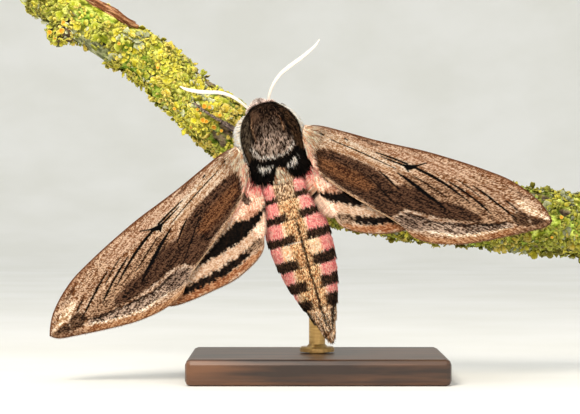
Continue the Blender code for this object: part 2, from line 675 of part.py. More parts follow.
def main():
    clear_scene()
    group = bpy.data.collections.new("privet_hawk_moth")
    bpy.context.scene.collection.children.link(group)
    branch = make_perch(finish("bark", "A79A45", 0.95), group)
    make_stand(branch, finish("dark_wood", "3B2A20", 0.45), finish("brass", "B08D57", 0.3, 1.0), group)
    make_moth(group)


main()
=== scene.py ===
import math

import bpy
import numpy as np
from mathutils import Matrix, Vector, kdtree


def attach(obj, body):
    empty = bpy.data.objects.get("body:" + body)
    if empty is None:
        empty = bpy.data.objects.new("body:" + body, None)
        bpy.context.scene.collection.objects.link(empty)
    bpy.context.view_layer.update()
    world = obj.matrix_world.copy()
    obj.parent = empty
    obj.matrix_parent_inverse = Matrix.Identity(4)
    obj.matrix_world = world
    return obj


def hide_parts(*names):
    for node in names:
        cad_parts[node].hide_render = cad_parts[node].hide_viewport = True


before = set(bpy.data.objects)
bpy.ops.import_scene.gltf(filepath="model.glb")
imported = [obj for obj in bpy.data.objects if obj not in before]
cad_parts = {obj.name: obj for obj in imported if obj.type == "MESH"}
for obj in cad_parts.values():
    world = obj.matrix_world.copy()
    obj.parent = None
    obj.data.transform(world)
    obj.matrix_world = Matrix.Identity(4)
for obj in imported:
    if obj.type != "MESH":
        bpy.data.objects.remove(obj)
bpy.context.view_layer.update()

# A privet hawk moth at rest on a lichened branch. All sizes are in millimetres until a mesh is made.
# The moth is laid out in its own frame: x to its right, y towards its head, z out of its back.
mm = 0.001
mothAt = (-9.0, -12.8, 47.7)
bodyLeanDeg = 14.0


def linear(hexValue):  # sRGB hex to linear
    parts = np.array([int(hexValue[i:i + 2], 16) for i in (0, 2, 4)]) / 255
    return np.where(parts <= 0.04045, parts / 12.92, ((parts + 0.055) / 1.055) ** 2.4)


def ramp(value, low, high):  # 0 below low, 1 above high, smooth between
    share = np.clip((value - low) / (high - low), 0, 1)
    return share * share * (3 - 2 * share)


def mixed(under, over, share):  # colours in rows of three; a hex value stands for one colour
    under, over = (linear(tone) if isinstance(tone, str) else tone for tone in (under, over))
    share = np.clip(share, 0, 1)[..., None]
    return under * (1 - share) + over * share


def toned(share, dark, middle, light):  # the three tones of one surface
    return mixed(mixed(dark, middle, share * 2), light, share * 2 - 1)


def grain(seed, *axes):  # smooth noise from 0 to 1, each axis already divided by a grain's size
    table = np.random.default_rng(seed).random(8192)
    cells = [np.floor(axis).astype(np.int64) for axis in axes]
    parts = [axis - cell for axis, cell in zip(axes, cells)]
    parts = [part * part * (3 - 2 * part) for part in parts]
    total = 0.0
    for corner in range(2 ** len(axes)):
        key, share = 0, 1.0
        for k, (cell, part) in enumerate(zip(cells, parts)):
            step = corner >> k & 1
            key = key ^ (cell + step) * (73856093, 19349663, 83492791)[k]
            share = share * (part if step else 1 - part)
        total = total + table[key % 8192] * share
    return total


def nearest(x, y, ax, ay, bx, by):  # distance to one stretch of line, and how far along it
    dx, dy = bx - ax, by - ay
    share = np.clip(((x - ax) * dx + (y - ay) * dy) / (dx * dx + dy * dy), 0, 1)
    return np.hypot(x - ax - dx * share, y - ay - dy * share), share


def streak(x, y, line, soft=0.12):  # a drawn line, its points given as x, y, half width
    inside = np.full(np.shape(x), -99.0)
    for (ax, ay, aw), (bx, by, bw) in zip(line, line[1:]):
        away, share = nearest(x, y, ax, ay, bx, by)
        inside = np.maximum(inside, aw + (bw - aw) * share - away)
    return ramp(inside, -soft, soft)


def patchOf(x, y, outline, soft=0.25):  # a filled shape, its corners given as x, y
    near, crossed = np.full(np.shape(x), 99.0), np.zeros(np.shape(x), bool)
    for (ax, ay), (bx, by) in zip(outline, outline[1:] + outline[:1]):
        near = np.minimum(near, nearest(x, y, ax, ay, bx, by)[0])
        crossed ^= ((ay > y) != (by > y)) & (x < ax + (y - ay) * (bx - ax) / ((by - ay) or 1e-9))
    return ramp(np.where(crossed, near, -near), -soft, soft)


def through(points, count):  # a smooth curve through the points, read at even steps
    points = np.array(points, float)
    padded = np.vstack([2 * points[0] - points[1], points, 2 * points[-1] - points[-2]])
    steps = np.linspace(0, 1, 16, endpoint=False)[:, None]
    fine = []
    for i in range(len(points) - 1):
        a, b, c, d = padded[i:i + 4]
        fine.append(0.5 * (2 * b + (c - a) * steps + (2 * a - 5 * b + 4 * c - d) * steps**2
                           + (3 * b - a - 3 * c + d) * steps**3))
    fine = np.vstack([*fine, points[-1:]])
    walked = np.concatenate([[0], np.cumsum(np.linalg.norm(np.diff(fine, axis=0), axis=1))])
    wanted = np.linspace(0, walked[-1], count)
    return np.column_stack([np.interp(wanted, walked, column) for column in fine.T])


def unit(rows):
    return rows / np.maximum(np.linalg.norm(rows, axis=-1, keepdims=True), 1e-9)


mothMatrix = np.array(
    Matrix.Translation(Vector(mothAt))
    @ Matrix.Rotation(math.radians(-bodyLeanDeg), 4, "Y")
    @ Matrix.Rotation(math.radians(90), 4, "X"))


def toWorld(points):
    return points @ mothMatrix[:3, :3].T + mothMatrix[:3, 3]


def toMoth(points):
    return (points - mothMatrix[:3, 3]) @ mothMatrix[:3, :3]


def addPiece(name, points, faces, material, paint, bakeUv=None, stands=()):
    # points in the world's millimetres; paint is a linear colour a point
    data = bpy.data.meshes.new(name)
    data.from_pydata((points * mm).tolist(), [], faces)
    data.materials.append(material)
    data.shade_smooth()
    if paint is not None:
        layer = data.color_attributes.new("paint", "FLOAT_COLOR", "POINT")
        layer.data.foreach_set("color", np.column_stack([np.clip(paint, 0, 1), np.ones(len(paint))]).ravel())
    if bakeUv is not None:
        corners = np.empty(len(data.loops), np.int64)
        data.loops.foreach_get("vertex_index", corners)
        data.uv_layers.new(name="OFBake").data.foreach_set("uv", bakeUv[corners].ravel())
    piece = bpy.data.objects.new(name, data)
    bpy.context.scene.collection.objects.link(piece)
    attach(piece, "root")
    if stands:
        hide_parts(*stands)


def loft(rings, capped=True):  # rings of points, closed round, joined by quads
    count, sides = rings.shape[:2]
    index = np.arange(count * sides).reshape(count, sides)
    after = np.roll(index, -1, axis=1)
    faces = np.stack([index[:-1], after[:-1], after[1:], index[1:]], -1).reshape(-1, 4).tolist()
    if capped:
        faces += [index[0][::-1].tolist(), index[-1].tolist()]
    return rings.reshape(-1, 3), faces


def tubeRings(line, sides, flat=1.0, up=(0, 0, 1)):  # rings round a line of x, y, z, radius
    line = np.asarray(line, float)
    ahead = unit(np.gradient(line[:, :3], axis=0))
    across = unit(np.cross(ahead, np.array(up, float)))
    over = np.cross(across, ahead)
    turn = np.linspace(0, 2 * math.pi, sides, endpoint=False)
    wide, high = np.cos(turn)[None, :, None], np.sin(turn)[None, :, None] * flat
    return line[:, None, :3] + line[:, 3, None, None] * (across[:, None] * wide + over[:, None] * high)


def joined(parts):  # several (points, faces, paint) as one
    points, faces, paint, start = [], [], [], 0
    for somePoints, someFaces, somePaint in parts:
        points.append(somePoints)
        paint.append(np.broadcast_to(somePaint, somePoints.shape))
        faces += [[corner + start for corner in face] for face in someFaces]
        start += len(somePoints)
    return np.vstack(points), faces, np.vstack(paint)


def surfaceOf(points, faces):  # triangles and point normals, to plant on
    triangles = np.array([(face[0], face[k], face[k + 1])
                          for face in faces for k in range(1, len(face) - 1)])
    a, b, c = (points[triangles[:, k]] for k in range(3))
    flat = np.cross(b - a, c - a)
    normals = np.zeros_like(points)
    for k in range(3):
        np.add.at(normals, triangles[:, k], flat)
    return {"points": points, "triangles": triangles, "normals": unit(normals)}


def scatter(surface, count, seed, density=None):  # roots spread evenly, or by density(places)
    rng = np.random.default_rng(seed)
    points, triangles, normals = surface["points"], surface["triangles"], surface["normals"]
    a, b, c = (points[triangles[:, k]] for k in range(3))
    weight = np.linalg.norm(np.cross(b - a, c - a), axis=1)
    if density is not None:
        weight = weight * density((a + b + c) / 3)
    picked = rng.choice(len(weight), count, p=weight / weight.sum())
    one, two = rng.random((count, 1)), rng.random((count, 1))
    folded = one + two > 1
    one, two = np.where(folded, 1 - one, one), np.where(folded, 1 - two, two)
    na, nb, nc = (normals[triangles[picked, k]] for k in range(3))
    roots = a[picked] * (1 - one - two) + b[picked] * one + c[picked] * two
    return roots, unit(na * (1 - one - two) + nb * one + nc * two), triangles[picked, 0]


bakePatchSize = 0.003  # each tuft's own patch on its unwrap
bakePatch = np.array([(0, 0), (0.5, 0), (1, 0), (0, 0.5), (0.5, 0.5), (1, 0.5), (0.5, 1)]) * bakePatchSize


def tuftMesh(roots, normals, lie, length, width, lift, colour, litTipColour, unwrap,
             flat=0.4, sunk=0.1, rootShade=0.6):
    # each tuft has three sides, is widest half way along, bows over its lie and ends in a point
    count = len(roots)
    along = unit(lie - normals * np.sum(lie * normals, axis=1, keepdims=True))
    side = np.cross(normals, along)
    length, width, lift = (np.broadcast_to(value, count)[:, None] for value in (length, width, lift))
    rise = along * np.cos(lift) + normals * np.sin(lift)
    settle = along * np.cos(lift * 0.35) + normals * np.sin(lift * 0.35)
    foot = roots - normals * sunk
    middle = roots + rise * length * 0.5
    tip = middle + settle * length * 0.5
    ring = [side * 0.5, np.cross(side, rise) * flat, side * -0.5]
    points = np.stack([*(foot + part * width * 0.7 for part in ring),
                       *(middle + part * width for part in ring), tip], axis=1)
    # painted shade on the ring at each tuft's root, and a painted highlight at its tip
    shade = np.stack([colour * rootShade] * 3 + [colour] * 3 + [litTipColour], axis=1)
    start = (np.arange(count) * 7)[:, None, None]
    quads = start + np.array([(0, 1, 4, 3), (1, 2, 5, 4), (2, 0, 3, 5)])
    threes = start + np.array([(3, 4, 6), (4, 5, 6), (5, 3, 6), (2, 1, 0)])
    faces = quads.reshape(-1, 4).tolist() + threes.reshape(-1, 3).tolist()
    uv = (unwrap[:, None] * 0.995 + bakePatch).reshape(-1, 2)
    return points.reshape(-1, 3), faces, shade.reshape(-1, 3), uv


def addNode(tree, kind, values=None, **settings):  # a value that is a socket is linked, any other is set
    node = tree.nodes.new(kind)
    for key, value in settings.items():
        setattr(node, key, value)
    for socket, value in (values or {}).items():
        if isinstance(value, bpy.types.NodeSocket):
            tree.links.new(value, node.inputs[socket])
        else:
            node.inputs[socket].default_value = value
    return node


def newMaterial(name, **constants):
    made = bpy.data.materials.new(name)
    made.use_nodes = True
    shader = made.node_tree.nodes["Principled BSDF"]
    for socket, value in constants.items():
        shader.inputs[socket.replace("_", " ")].default_value = value
    place = addNode(made.node_tree, "ShaderNodeTexCoord").outputs["Object"]
    return made, made.node_tree, shader, place


def paintedMaterial(name, grainMm, stretch, bumpMm, variation, detail=2.0, **constants):
    # the painted colour, broken up at the size of single scales or grits, over a fine bump
    made, tree, shader, place = newMaterial(name, **constants)
    painted = addNode(tree, "ShaderNodeAttribute", attribute_name="paint")
    spread = addNode(tree, "ShaderNodeMapping", {
        "Vector": place, "Scale": tuple(1 / (grainMm * mm * part) for part in stretch),
        "Rotation": (0, math.radians(-bodyLeanDeg), 0)})
    speck = addNode(tree, "ShaderNodeTexNoise", {
        "Vector": spread.outputs[0], "Scale": 1.0, "Detail": detail})
    gain = addNode(tree, "ShaderNodeMapRange", {
        "Value": speck.outputs["Fac"], "From Min": 0.3, "From Max": 0.7,
        "To Min": 1 - variation, "To Max": 1 + variation})
    tint = addNode(tree, "ShaderNodeVectorMath", {
        0: painted.outputs["Color"], "Scale": gain.outputs[0]}, operation="SCALE")
    bump = addNode(tree, "ShaderNodeBump", {
        "Height": speck.outputs["Fac"], "Distance": bumpMm * mm, "Strength": 0.6})
    tree.links.new(tint.outputs[0], shader.inputs["Base Color"])
    tree.links.new(bump.outputs[0], shader.inputs["Normal"])
    return made


def tonedMaterial(name, tones, figure, relief, bumpMm, **constants):
    # two tones mixed by one noise, under a bump from another; each noise is its mm along x, y, z
    made, tree, shader, place = newMaterial(name, **constants)
    noises = []
    for sizes in (figure, relief):
        spread = addNode(tree, "ShaderNodeMapping", {
            "Vector": place, "Scale": tuple(1 / (size * mm) for size in sizes)})
        noises.append(addNode(tree, "ShaderNodeTexNoise", {
            "Vector": spread.outputs[0], "Scale": 1.0, "Detail": 3.0}))
    gain = addNode(tree, "ShaderNodeMapRange", {
        "Value": noises[0].outputs["Fac"], "From Min": 0.35, "From Max": 0.65})
    tint = addNode(tree, "ShaderNodeMix", {
        "Factor": gain.outputs[0], "A": (*linear(tones[0]), 1), "B": (*linear(tones[1]), 1)},
        data_type="RGBA")
    bump = addNode(tree, "ShaderNodeBump", {
        "Height": noises[1].outputs["Fac"], "Distance": bumpMm * mm, "Strength": 0.5})
    tree.links.new(tint.outputs["Result"], shader.inputs["Base Color"])
    tree.links.new(bump.outputs[0], shader.inputs["Normal"])
    return made


# Thorax fur: soft hair scales, matt, so the dark parts stay deep
thoraxFur = paintedMaterial("hair_scales_fur", grainMm=0.16, stretch=(1, 1, 2.5), bumpMm=0.05, variation=0.16,
                            Roughness=0.85, Specular_IOR_Level=0.06)
# White fringe hair: clear, hollow hairs that catch light from the side, so they glow at the rim
fringeHair = paintedMaterial("white_fringe_hair", grainMm=0.2, stretch=(1, 1, 2.5), bumpMm=0.02,
                             variation=0.06, Roughness=0.7, Sheen_Weight=0.8, Sheen_Roughness=0.5,
                             Specular_IOR_Level=0.2)
# Flat body scales: closer laid than the fur, so a little smoother
bodyScales = paintedMaterial("body_scales", grainMm=0.14, stretch=(1, 1, 2), bumpMm=0.04, variation=0.14,
                             Roughness=0.78, Specular_IOR_Level=0.08)
# Wing scales: dusty and matt, with a slight silkiness
wingScales = paintedMaterial("wing_scales", grainMm=0.2, stretch=(1, 1, 1), bumpMm=0.04, variation=0.2,
                             Roughness=0.75, Specular_IOR_Level=0.05)
# Antenna scales: bright white above and brown below, smooth and close set
antennaScales = paintedMaterial("antenna_scales", grainMm=0.1, stretch=(1, 1, 1), bumpMm=0.015,
                                variation=0.05, Roughness=0.5, Specular_IOR_Level=0.35)
# Leg scales: grey-brown, close set over hard shell
legScales = paintedMaterial("leg_scales", grainMm=0.12, stretch=(1, 1, 1), bumpMm=0.03, variation=0.18,
                            Roughness=0.6, Specular_IOR_Level=0.3)
# Lichen crust and weathered bark: dry and matt, with a fine grit
lichenCrust = paintedMaterial("lichened_bark", grainMm=0.3, stretch=(1, 1, 1), bumpMm=0.12, variation=0.3,
                              detail=4.0, Roughness=0.92, Specular_IOR_Level=0.15)
# A hawk moth's eye: a hard clear shell over thousands of facets, dark brown and glossy.
# Its facets are 0.03 mm, too fine to draw, so the relief is three times as coarse
eyeShell = tonedMaterial("compound_eye", tones=("0C0705", "2C1A10"), figure=(0.9, 0.9, 0.9),
                         relief=(0.09, 0.09, 0.09), bumpMm=0.02,
                         Roughness=0.24, IOR=1.56, Coat_Weight=0.15, Coat_Roughness=0.1)
print("materials ready")

forewing = {
    "lead": [(0, -0.6), (3, -1.55), (8, -2.1), (13.1, -2.55), (18, -3.2), (22.6, -3.85), (27.5, -4.25),
             (32.5, -4.5), (37.8, -4.55), (40.5, -4.35), (43.9, -3.6), (47.1, -2.4), (49.2, -1.0),
             (50.5, 0.2)],
    "outer": [(50.5, 0.2), (49.9, 1.4), (48.8, 2.4), (47.1, 3.5), (43.7, 5.7), (40.1, 7.9), (36.3, 10.0),
              (32.1, 11.6), (28.6, 12.25), (26.4, 12.2)],
    "inner": [(0, 1.2), (1.1, 2.7), (2.7, 4.8), (4.6, 6.4), (7.4, 7.7), (10.8, 8.55), (15, 9.4),
              (20.7, 10.35), (23.9, 11.1), (26.4, 12.2)],
    "veins": [(0.07, 0.0), (0.2, 0.0), (0.36, 0.45), (0.52, 0.45), (0.67, 0.0), (0.81, 0.3), (0.94, 0.0)],
    "hinge": {"left": (6.7, -1.5), "right": (6.3, -0.7)},
    "sweepDeg": {"left": 30.5, "right": 34.2},
    "below": 0.0, "sink": 0.0, "rows": 400, "columns": (126, 42), "slot": "wing_scales",
    "hair": {"count": 1500, "reach": 3.4, "long": 1.7, "short": 0.5, "sparse": 0.004},
    "edgeHair": {"left": 0.3, "right": 0.3}, "edgeLean": 1.2, "edgeFrom": 0.01,
}
hindwing = {
    "lead": [(0, -1.0), (5, -2.4), (12, -3.3), (20, -3.6), (26, -2.6), (30, -0.4), (31.2, 1.6)],
    "outer": [(31.2, 1.6), (31.0, 4.0), (29.6, 6.4), (26.4, 8.4), (22.6, 10.2), (18, 12.1), (13.1, 12.8),
              (10.2, 12.4), (8.4, 11.0)],
    "inner": [(0, 1.4), (1.6, 3.9), (3.8, 6.6), (6.1, 8.9), (8.4, 11.0)],
    "veins": [(0.1, 0.0), (0.26, 0.0), (0.42, 0.35), (0.57, 0.35), (0.7, 0.0), (0.85, 0.0)],
    "hinge": {"left": (5.4, -5.2), "right": (5.4, -4.7)},
    "sweepDeg": {"left": 35.0, "right": 27.5},
    "below": 1.0, "sink": 0.06, "rows": 240, "columns": (102, 38), "slot": "rosy_scales",
    "hair": {"count": 1300, "reach": 3.2, "long": 1.5, "short": 0.5, "sparse": 0.008},
    "edgeHair": {"left": 1.0, "right": 2.3}, "edgeLean": 0.3, "edgeFrom": 0.5,  # it reaches to the abdomen
}
wingForm = {
    "thickness": 0.3,      # with its scales; the bare membrane is far thinner
    "edge": 0.07, "veinRise": 0.13, "veinHalfWidth": 0.17,
    "pleat": 0.05,         # the membrane sinks a little between the veins
    "fringe": 0.5,         # length of the scales along the outer margin
    "fringeScales": 1500, "edgeScales": 900,
}


def wingHeight(x, y, side):  # the surface over the moth's own x, y plane, x taken outwards
    sweep = math.radians(forewing["sweepDeg"][side])
    hx, hy = forewing["hinge"][side]
    u = (x - hx) * math.cos(sweep) - (y - hy) * math.sin(sweep)
    v = -(x - hx) * math.sin(sweep) - (y - hy) * math.cos(sweep)
    return 2.6 - 0.06 * u + 0.28 * (1 - 0.45 * np.clip(u / 50.5, 0, 1)) * 12 * np.tanh(v / 12)


def wingGrid(wing, s, t):  # u, v at shares s from root to margin and t from the fore to the hind edge
    lead, outer, inner = (through(wing[edge], 60) for edge in ("lead", "outer", "inner"))
    share = np.linspace(0, 1, 60)
    fore, hind, rim = (np.column_stack([np.interp(at, share, column) for column in table.T])
                       for at, table in ((s, lead), (s, inner), (t, outer)))
    s, t = s[:, None, None], t[None, :, None]
    return (1 - t) * fore[:, None] + t * hind[:, None] + s * (rim[None] - (1 - t) * outer[0] - t * outer[-1])


def wingPlace(wing, side, u, v):  # u, v to the moth's frame, at the middle of the membrane
    sweep = math.radians(wing["sweepDeg"][side])
    hx, hy = wing["hinge"][side]
    x = hx + u * math.cos(sweep) - v * math.sin(sweep)
    y = hy - u * math.sin(sweep) - v * math.cos(sweep)
    z = wingHeight(x, y, side) - wing["below"] - wing["sink"] * np.maximum(0, v)
    return np.stack([x * (-1 if side == "left" else 1), y, z], axis=-1)


# Markings, read from the photograph in each wing's own u, v. A shape has the corners of its outline, a line
# or zigzag its points with half widths; then come its softness, dark, middle and light tone, and strength
foreMarks = [
    ("shape", [(-2, -3), (8, -2.6), (20, -3.8), (32, -5), (44, -4), (44, -3.1), (32, -4.0), (20, -3.1),
               (10, -2.0), (-2, -1.4)], 0.35, ("6A4128", "946445", "C49A78"), 0.75),
    ("shape", [(1, -1.3), (10, -1.5), (16, -2.3), (24, -3.2), (33, -3.3), (33, -1.6), (24, -0.7),
               (16, -0.4), (2, -0.4)], 0.6, ("96694A", "CAA284", "F6DEC6"), 0.8),
    ("shape", [(-2, -1.0), (6, -1.0), (14, -0.8), (22, -0.6), (22, 1.0), (18, 1.9), (14, 2.2), (4, 2.1),
               (2.8, 3.4), (2.9, 6.2), (-2, 4)], 0.5, ("A67C58", "E6C8A0", "FFF8E8"), 0.92),
    ("line", [(4, 1.2, 0.1), (10, 1.4, 0.3), (16, 1.9, 0.35), (20, 2.2, 0.1)], 0.3,
     ("8A5C3C", "BE8E64", "E2BE98"), 0.7),
    ("line", [(7, -2.02, 0.1), (10, -1.95, 0.26), (13.5, -1.75, 0.24), (15, -1.85, 0.08)], 0.2,
     ("2E1C12", "5C3D2A", "8A6448"), 0.85),
    ("line", [(14, -2.5, 0.1), (18, -3.0, 0.22), (23, -3.5, 0.1)], 0.25,
     ("5A3A26", "855A3E", "B08868"), 0.6),
    ("shape", [(20, 1.9), (25, 1.2), (32, 1.3), (38, 1.4), (43, 2.2), (43.6, 3.1), (40, 5.2), (36, 6.1),
               (30, 6.8), (23, 6.4)], 0.8, ("2E1C14", "7E5C42", "D4B08C"), 0.7),
    ("line", [(33, -2.2, 0.2), (37, -1.2, 0.5), (41, -0.4, 0.5), (43, 0.2, 0.2)], 0.6,
     ("6A4630", "96694A", "C8A482"), 0.5),
    ("shape", [(3.2, 4.2), (3.6, 2.7), (6, 2.3), (10, 2.2), (14, 2.35), (16.5, 2.9), (19, 3.9), (20.6, 4.1),
               (22, 3.3), (25, 3.4), (29, 4.1), (33, 3.6), (36.6, 4.0), (37.6, 5.0), (36, 5.7), (33, 6.5),
               (30, 7.2), (26, 7.5), (23.5, 7.8), (22.6, 8.6), (21.8, 9.6), (21, 10.4), (19, 9.9),
               (16, 9.1), (13, 8.5), (10, 8.0), (8, 7.5), (6, 6.9), (4.4, 5.8)], 0.28,
     ("110804", "382418", "745642"), 1.0),
    ("shape", [(4.4, 4.3), (8, 4.1), (13, 4.4), (16.5, 5.8), (15.5, 7.3), (10, 7.0), (6, 6.2)], 0.7,
     ("3A1E10", "6A4228", "A0724C"), 0.85),
    ("line", [(18.4, 2.6, 0.08), (20.5, 3.1, 0.2), (23, 3.9, 0.1)], 0.15,
     ("7A5236", "A87C58", "D4AE88"), 0.75),
    ("line", [(17.4, 3.6, 0.05), (19.5, 4.5, 0.12), (21.5, 5.2, 0.05)], 0.12,
     ("6A4630", "8E6446", "BC946E"), 0.6),
    ("line", [(3.4, 6.2, 0.1), (6, 7.4, 0.16), (10, 8.35, 0.14), (15, 9.35, 0.14), (20.6, 10.3, 0.14),
              (23, 10.9, 0.06)], 0.14, ("9A7252", "C89E76", "EACBA4"), 0.8),
    ("shape", [(21.8, 10.2), (22.4, 9.0), (23.6, 8.1), (30, 7.9), (36, 6.2), (40, 4.9), (43, 3.4),
               (43.8, 4.0), (38, 7.4), (32, 9.7), (27, 10.9), (24, 11.4)], 0.28,
     ("1C120C", "7A5E4C", "E4D0BE"), 0.92),
    ("shape", [(22.4, 8.9), (26.6, 8.4), (28.2, 9.4), (26.6, 10.8), (24.6, 11.0), (22.8, 10.2)], 0.5,
     ("0E0806", "402C22", "B89E8C"), 0.75),
    ("line", [(22.0, 9.8, 0.14), (22.6, 8.8, 0.28), (24.0, 7.95, 0.2), (28, 7.6, 0.16), (33.5, 6.85, 0.08)],
     0.2, ("8A6A50", "D8BA9C", "FFF2E2"), 0.85),
    ("zigzag", [(23.4, 8.6, 0.08), (26, 8.35, 0.2), (29, 8.3, 0.2), (31, 7.95, 0.14), (33.2, 7.2, 0.24),
                (35.2, 6.7, 0.28), (36.4, 6.0, 0.12), (38.2, 5.4, 0.26), (40, 4.8, 0.28), (42, 3.8, 0.2),
                (43.4, 3.1, 0.08)], 0.14, ("050302", "140B07", "3A281C"), 0.95),
    ("line", [(26.6, 11.0, 0.05), (28.6, 10.3, 0.2), (31, 9.85, 0.24), (34, 9.3, 0.24), (37, 8.0, 0.22),
              (40, 6.35, 0.26), (42, 5.0, 0.24), (43.9, 3.85, 0.06)], 0.2,
     ("A07A58", "EAD2B4", "FFF8EC"), 0.92),
    ("line", [(40.8, -3.0, 0.14), (42.6, -2.6, 0.34), (44.6, -2.3, 0.2)], 0.25,
     ("3A261A", "664A38", "A88A70"), 0.85),
    ("shape", [(42.9, 2.6), (43.3, 0.6), (44.6, 0.5), (46, 0.9), (50.4, 0.3), (49.4, 1.5), (47.2, 2.5),
               (44.8, 3.5)], 0.16, ("170D08", "3C2A1E", "76583F"), 0.95),
    ("line", [(45.4, 0.7, 0.05), (46.4, 1.7, 0.12), (47.3, 2.7, 0.05)], 0.08,
     ("A8866A", "D8BC9C", "F4E2CC"), 0.85),
    ("line", [(43.6, 0.5, 0.05), (44.4, 1.8, 0.07), (45, 3.4, 0.04)], 0.08,
     ("8A6A50", "B4947A", "DCC2A8"), 0.6),
    ("line", [(41.6, -0.2, 0.08), (42.8, 0.5, 0.28), (43.4, 1.1, 0.1)], 0.2,
     ("B08C6A", "E0C6AA", "FBEDDA"), 0.7),
]
foreBright = [  # the pale marks that stand out as they are
    ("shape", [(42.4, -0.9), (43.5, -1.6), (45, -1.5), (46.6, -1.0), (48.4, -0.3), (50.1, 0.25), (48, 0.4),
               (45.4, 0.5), (43.8, 0.0)], 0.16, ("8E6A48", "C6A684", "F0DEC8"), 0.92),
    ("line", [(28, 10.4, 0.02), (31, 9.85, 0.16), (34, 9.3, 0.18), (37, 8.0, 0.16), (40, 6.35, 0.2),
              (42, 5.0, 0.16), (43.6, 4.0, 0.02)], 0.16, ("A07C58", "E2C29C", "FFF4E2"), 0.8),
    ("shape", [(-2, -1.0), (2.4, -0.6), (3.4, 1.8), (2.6, 3.2), (-2, 2.6)], 0.6,
     ("A87C5C", "F0D2B2", "FFF4E4"), 0.85),
    ("shape", [(-2, 1.8), (1.8, 2.2), (3.1, 3.8), (5.1, 6.7), (4, 8), (-2, 6)], 0.5,
     ("DC9C88", "FAD0B8", "FFEADA"), 0.9),
    ("shape", [(2.6, 5.4), (3.6, 5.6), (5.4, 7.1), (4, 8), (2, 6.6)], 0.4,
     ("D87A7A", "FFA4A0", "FFCCC0"), 0.7),
]
hindBright = [
    ("shape", [(-2, -2), (2.2, -1), (3.8, 2.2), (4.4, 4.2), (3.0, 5.8), (-2, 5)], 0.8,
     ("D86468", "F89694", "FFCCBE"), 0.95),
    ("shape", [(3.6, 3.8), (5.2, 3.4), (6.4, 5.2), (5.4, 6.5), (3.4, 6.8), (2, 6)], 0.5,
     ("D89078", "FAC4A8", "FFE6D2"), 0.85),
    ("shape", [(-1, -2), (3, -2), (3.4, 1.4), (2.4, 1.8), (1.4, 1.6), (0, 0.2)], 0.3,
     ("D8A48C", "F8D8C0", "FFF0E4"), 0.95),
    ("shape", [(-1, -1.2), (0.2, -0.4), (1.8, 1.9), (1.9, 3.1), (0.6, 3.6), (-2, 2)], 0.2,
     ("010101", "050403", "18120F"), 1.0),
    ("shape", [(5.4, 2.8), (8, 2.8), (10.6, 3.7), (9.6, 4.5), (8, 5.2), (6.4, 5.2)], 0.4,
     ("D49078", "F8C4A8", "FFE6D0"), 0.9),
    ("shape", [(5.2, 8.6), (8.6, 8.4), (9.0, 10), (8.6, 11), (7, 10.4)], 0.4,
     ("C8907A", "EEC4A6", "FFE6D2"), 0.85),
    ("shape", [(4.4, 2.9), (5.4, 3.0), (6.2, 4.2), (5.4, 4.9), (4.5, 4.3)], 0.22,
     ("0C0705", "1E140E", "5A4436"), 0.92),
]
foreLines = [  # black lines between the veins
    [(14.4, -0.4, 0.03), (17, -0.46, 0.1), (20.8, -0.38, 0.13)],
    [(15.6, 0.0, 0.03), (18, 0.06, 0.1), (20.6, 0.12, 0.13)],
    [(20.2, 0.1, 0.14), (21.1, 0.2, 0.44), (22, -0.25, 0.3), (22.7, -0.8, 0.1), (24.2, -1.9, 0.04)],
    [(20.9, 0.2, 0.26), (21.4, 0.9, 0.1)],
    [(22, -0.3, 0.18), (25, 0.0, 0.2), (28, 0.5, 0.2), (31, 1.25, 0.17), (33, 1.9, 0.09),
     (34.4, 2.4, 0.03)],
    [(29.3, 0.0, 0.06), (32, 0.6, 0.17), (34.4, 1.25, 0.13), (36.6, 2.0, 0.16), (38.8, 2.9, 0.05)],
    [(34, -0.8, 0.05), (37, -0.05, 0.15), (39.4, 0.75, 0.16), (41.6, 1.45, 0.14), (43.8, 2.2, 0.05)],
    [(30.6, -0.9, 0.02), (33.4, -0.25, 0.06), (36, 0.7, 0.04)],
    [(19.6, 1.85, 0.06), (22, 2.45, 0.22), (24.4, 3.15, 0.27), (27, 4.0, 0.27), (29, 4.6, 0.22),
     (30.6, 5.2, 0.06)],
    [(16.2, 2.7, 0.04), (18, 3.4, 0.16), (20.6, 4.6, 0.05)],
    [(14.4, 4.2, 0.03), (18, 6.0, 0.08), (21.4, 7.7, 0.03)],
    [(5.5, 0.3, 0.02), (12, 0.6, 0.06), (19, 1.2, 0.02)],
    [(22.6, 1.3, 0.02), (26, 2.0, 0.07), (30, 3.0, 0.03)],
    [(40.6, -0.4, 0.04), (42.4, 0.1, 0.1), (43.4, 0.6, 0.05)], [(0.6, -0.3, 0.14), (2.0, -0.2, 0.05)],
    [(3.2, -0.1, 0.1), (4.0, 0.0, 0.04)], [(8.0, -0.8, 0.09), (8.6, -0.7, 0.05)],
]
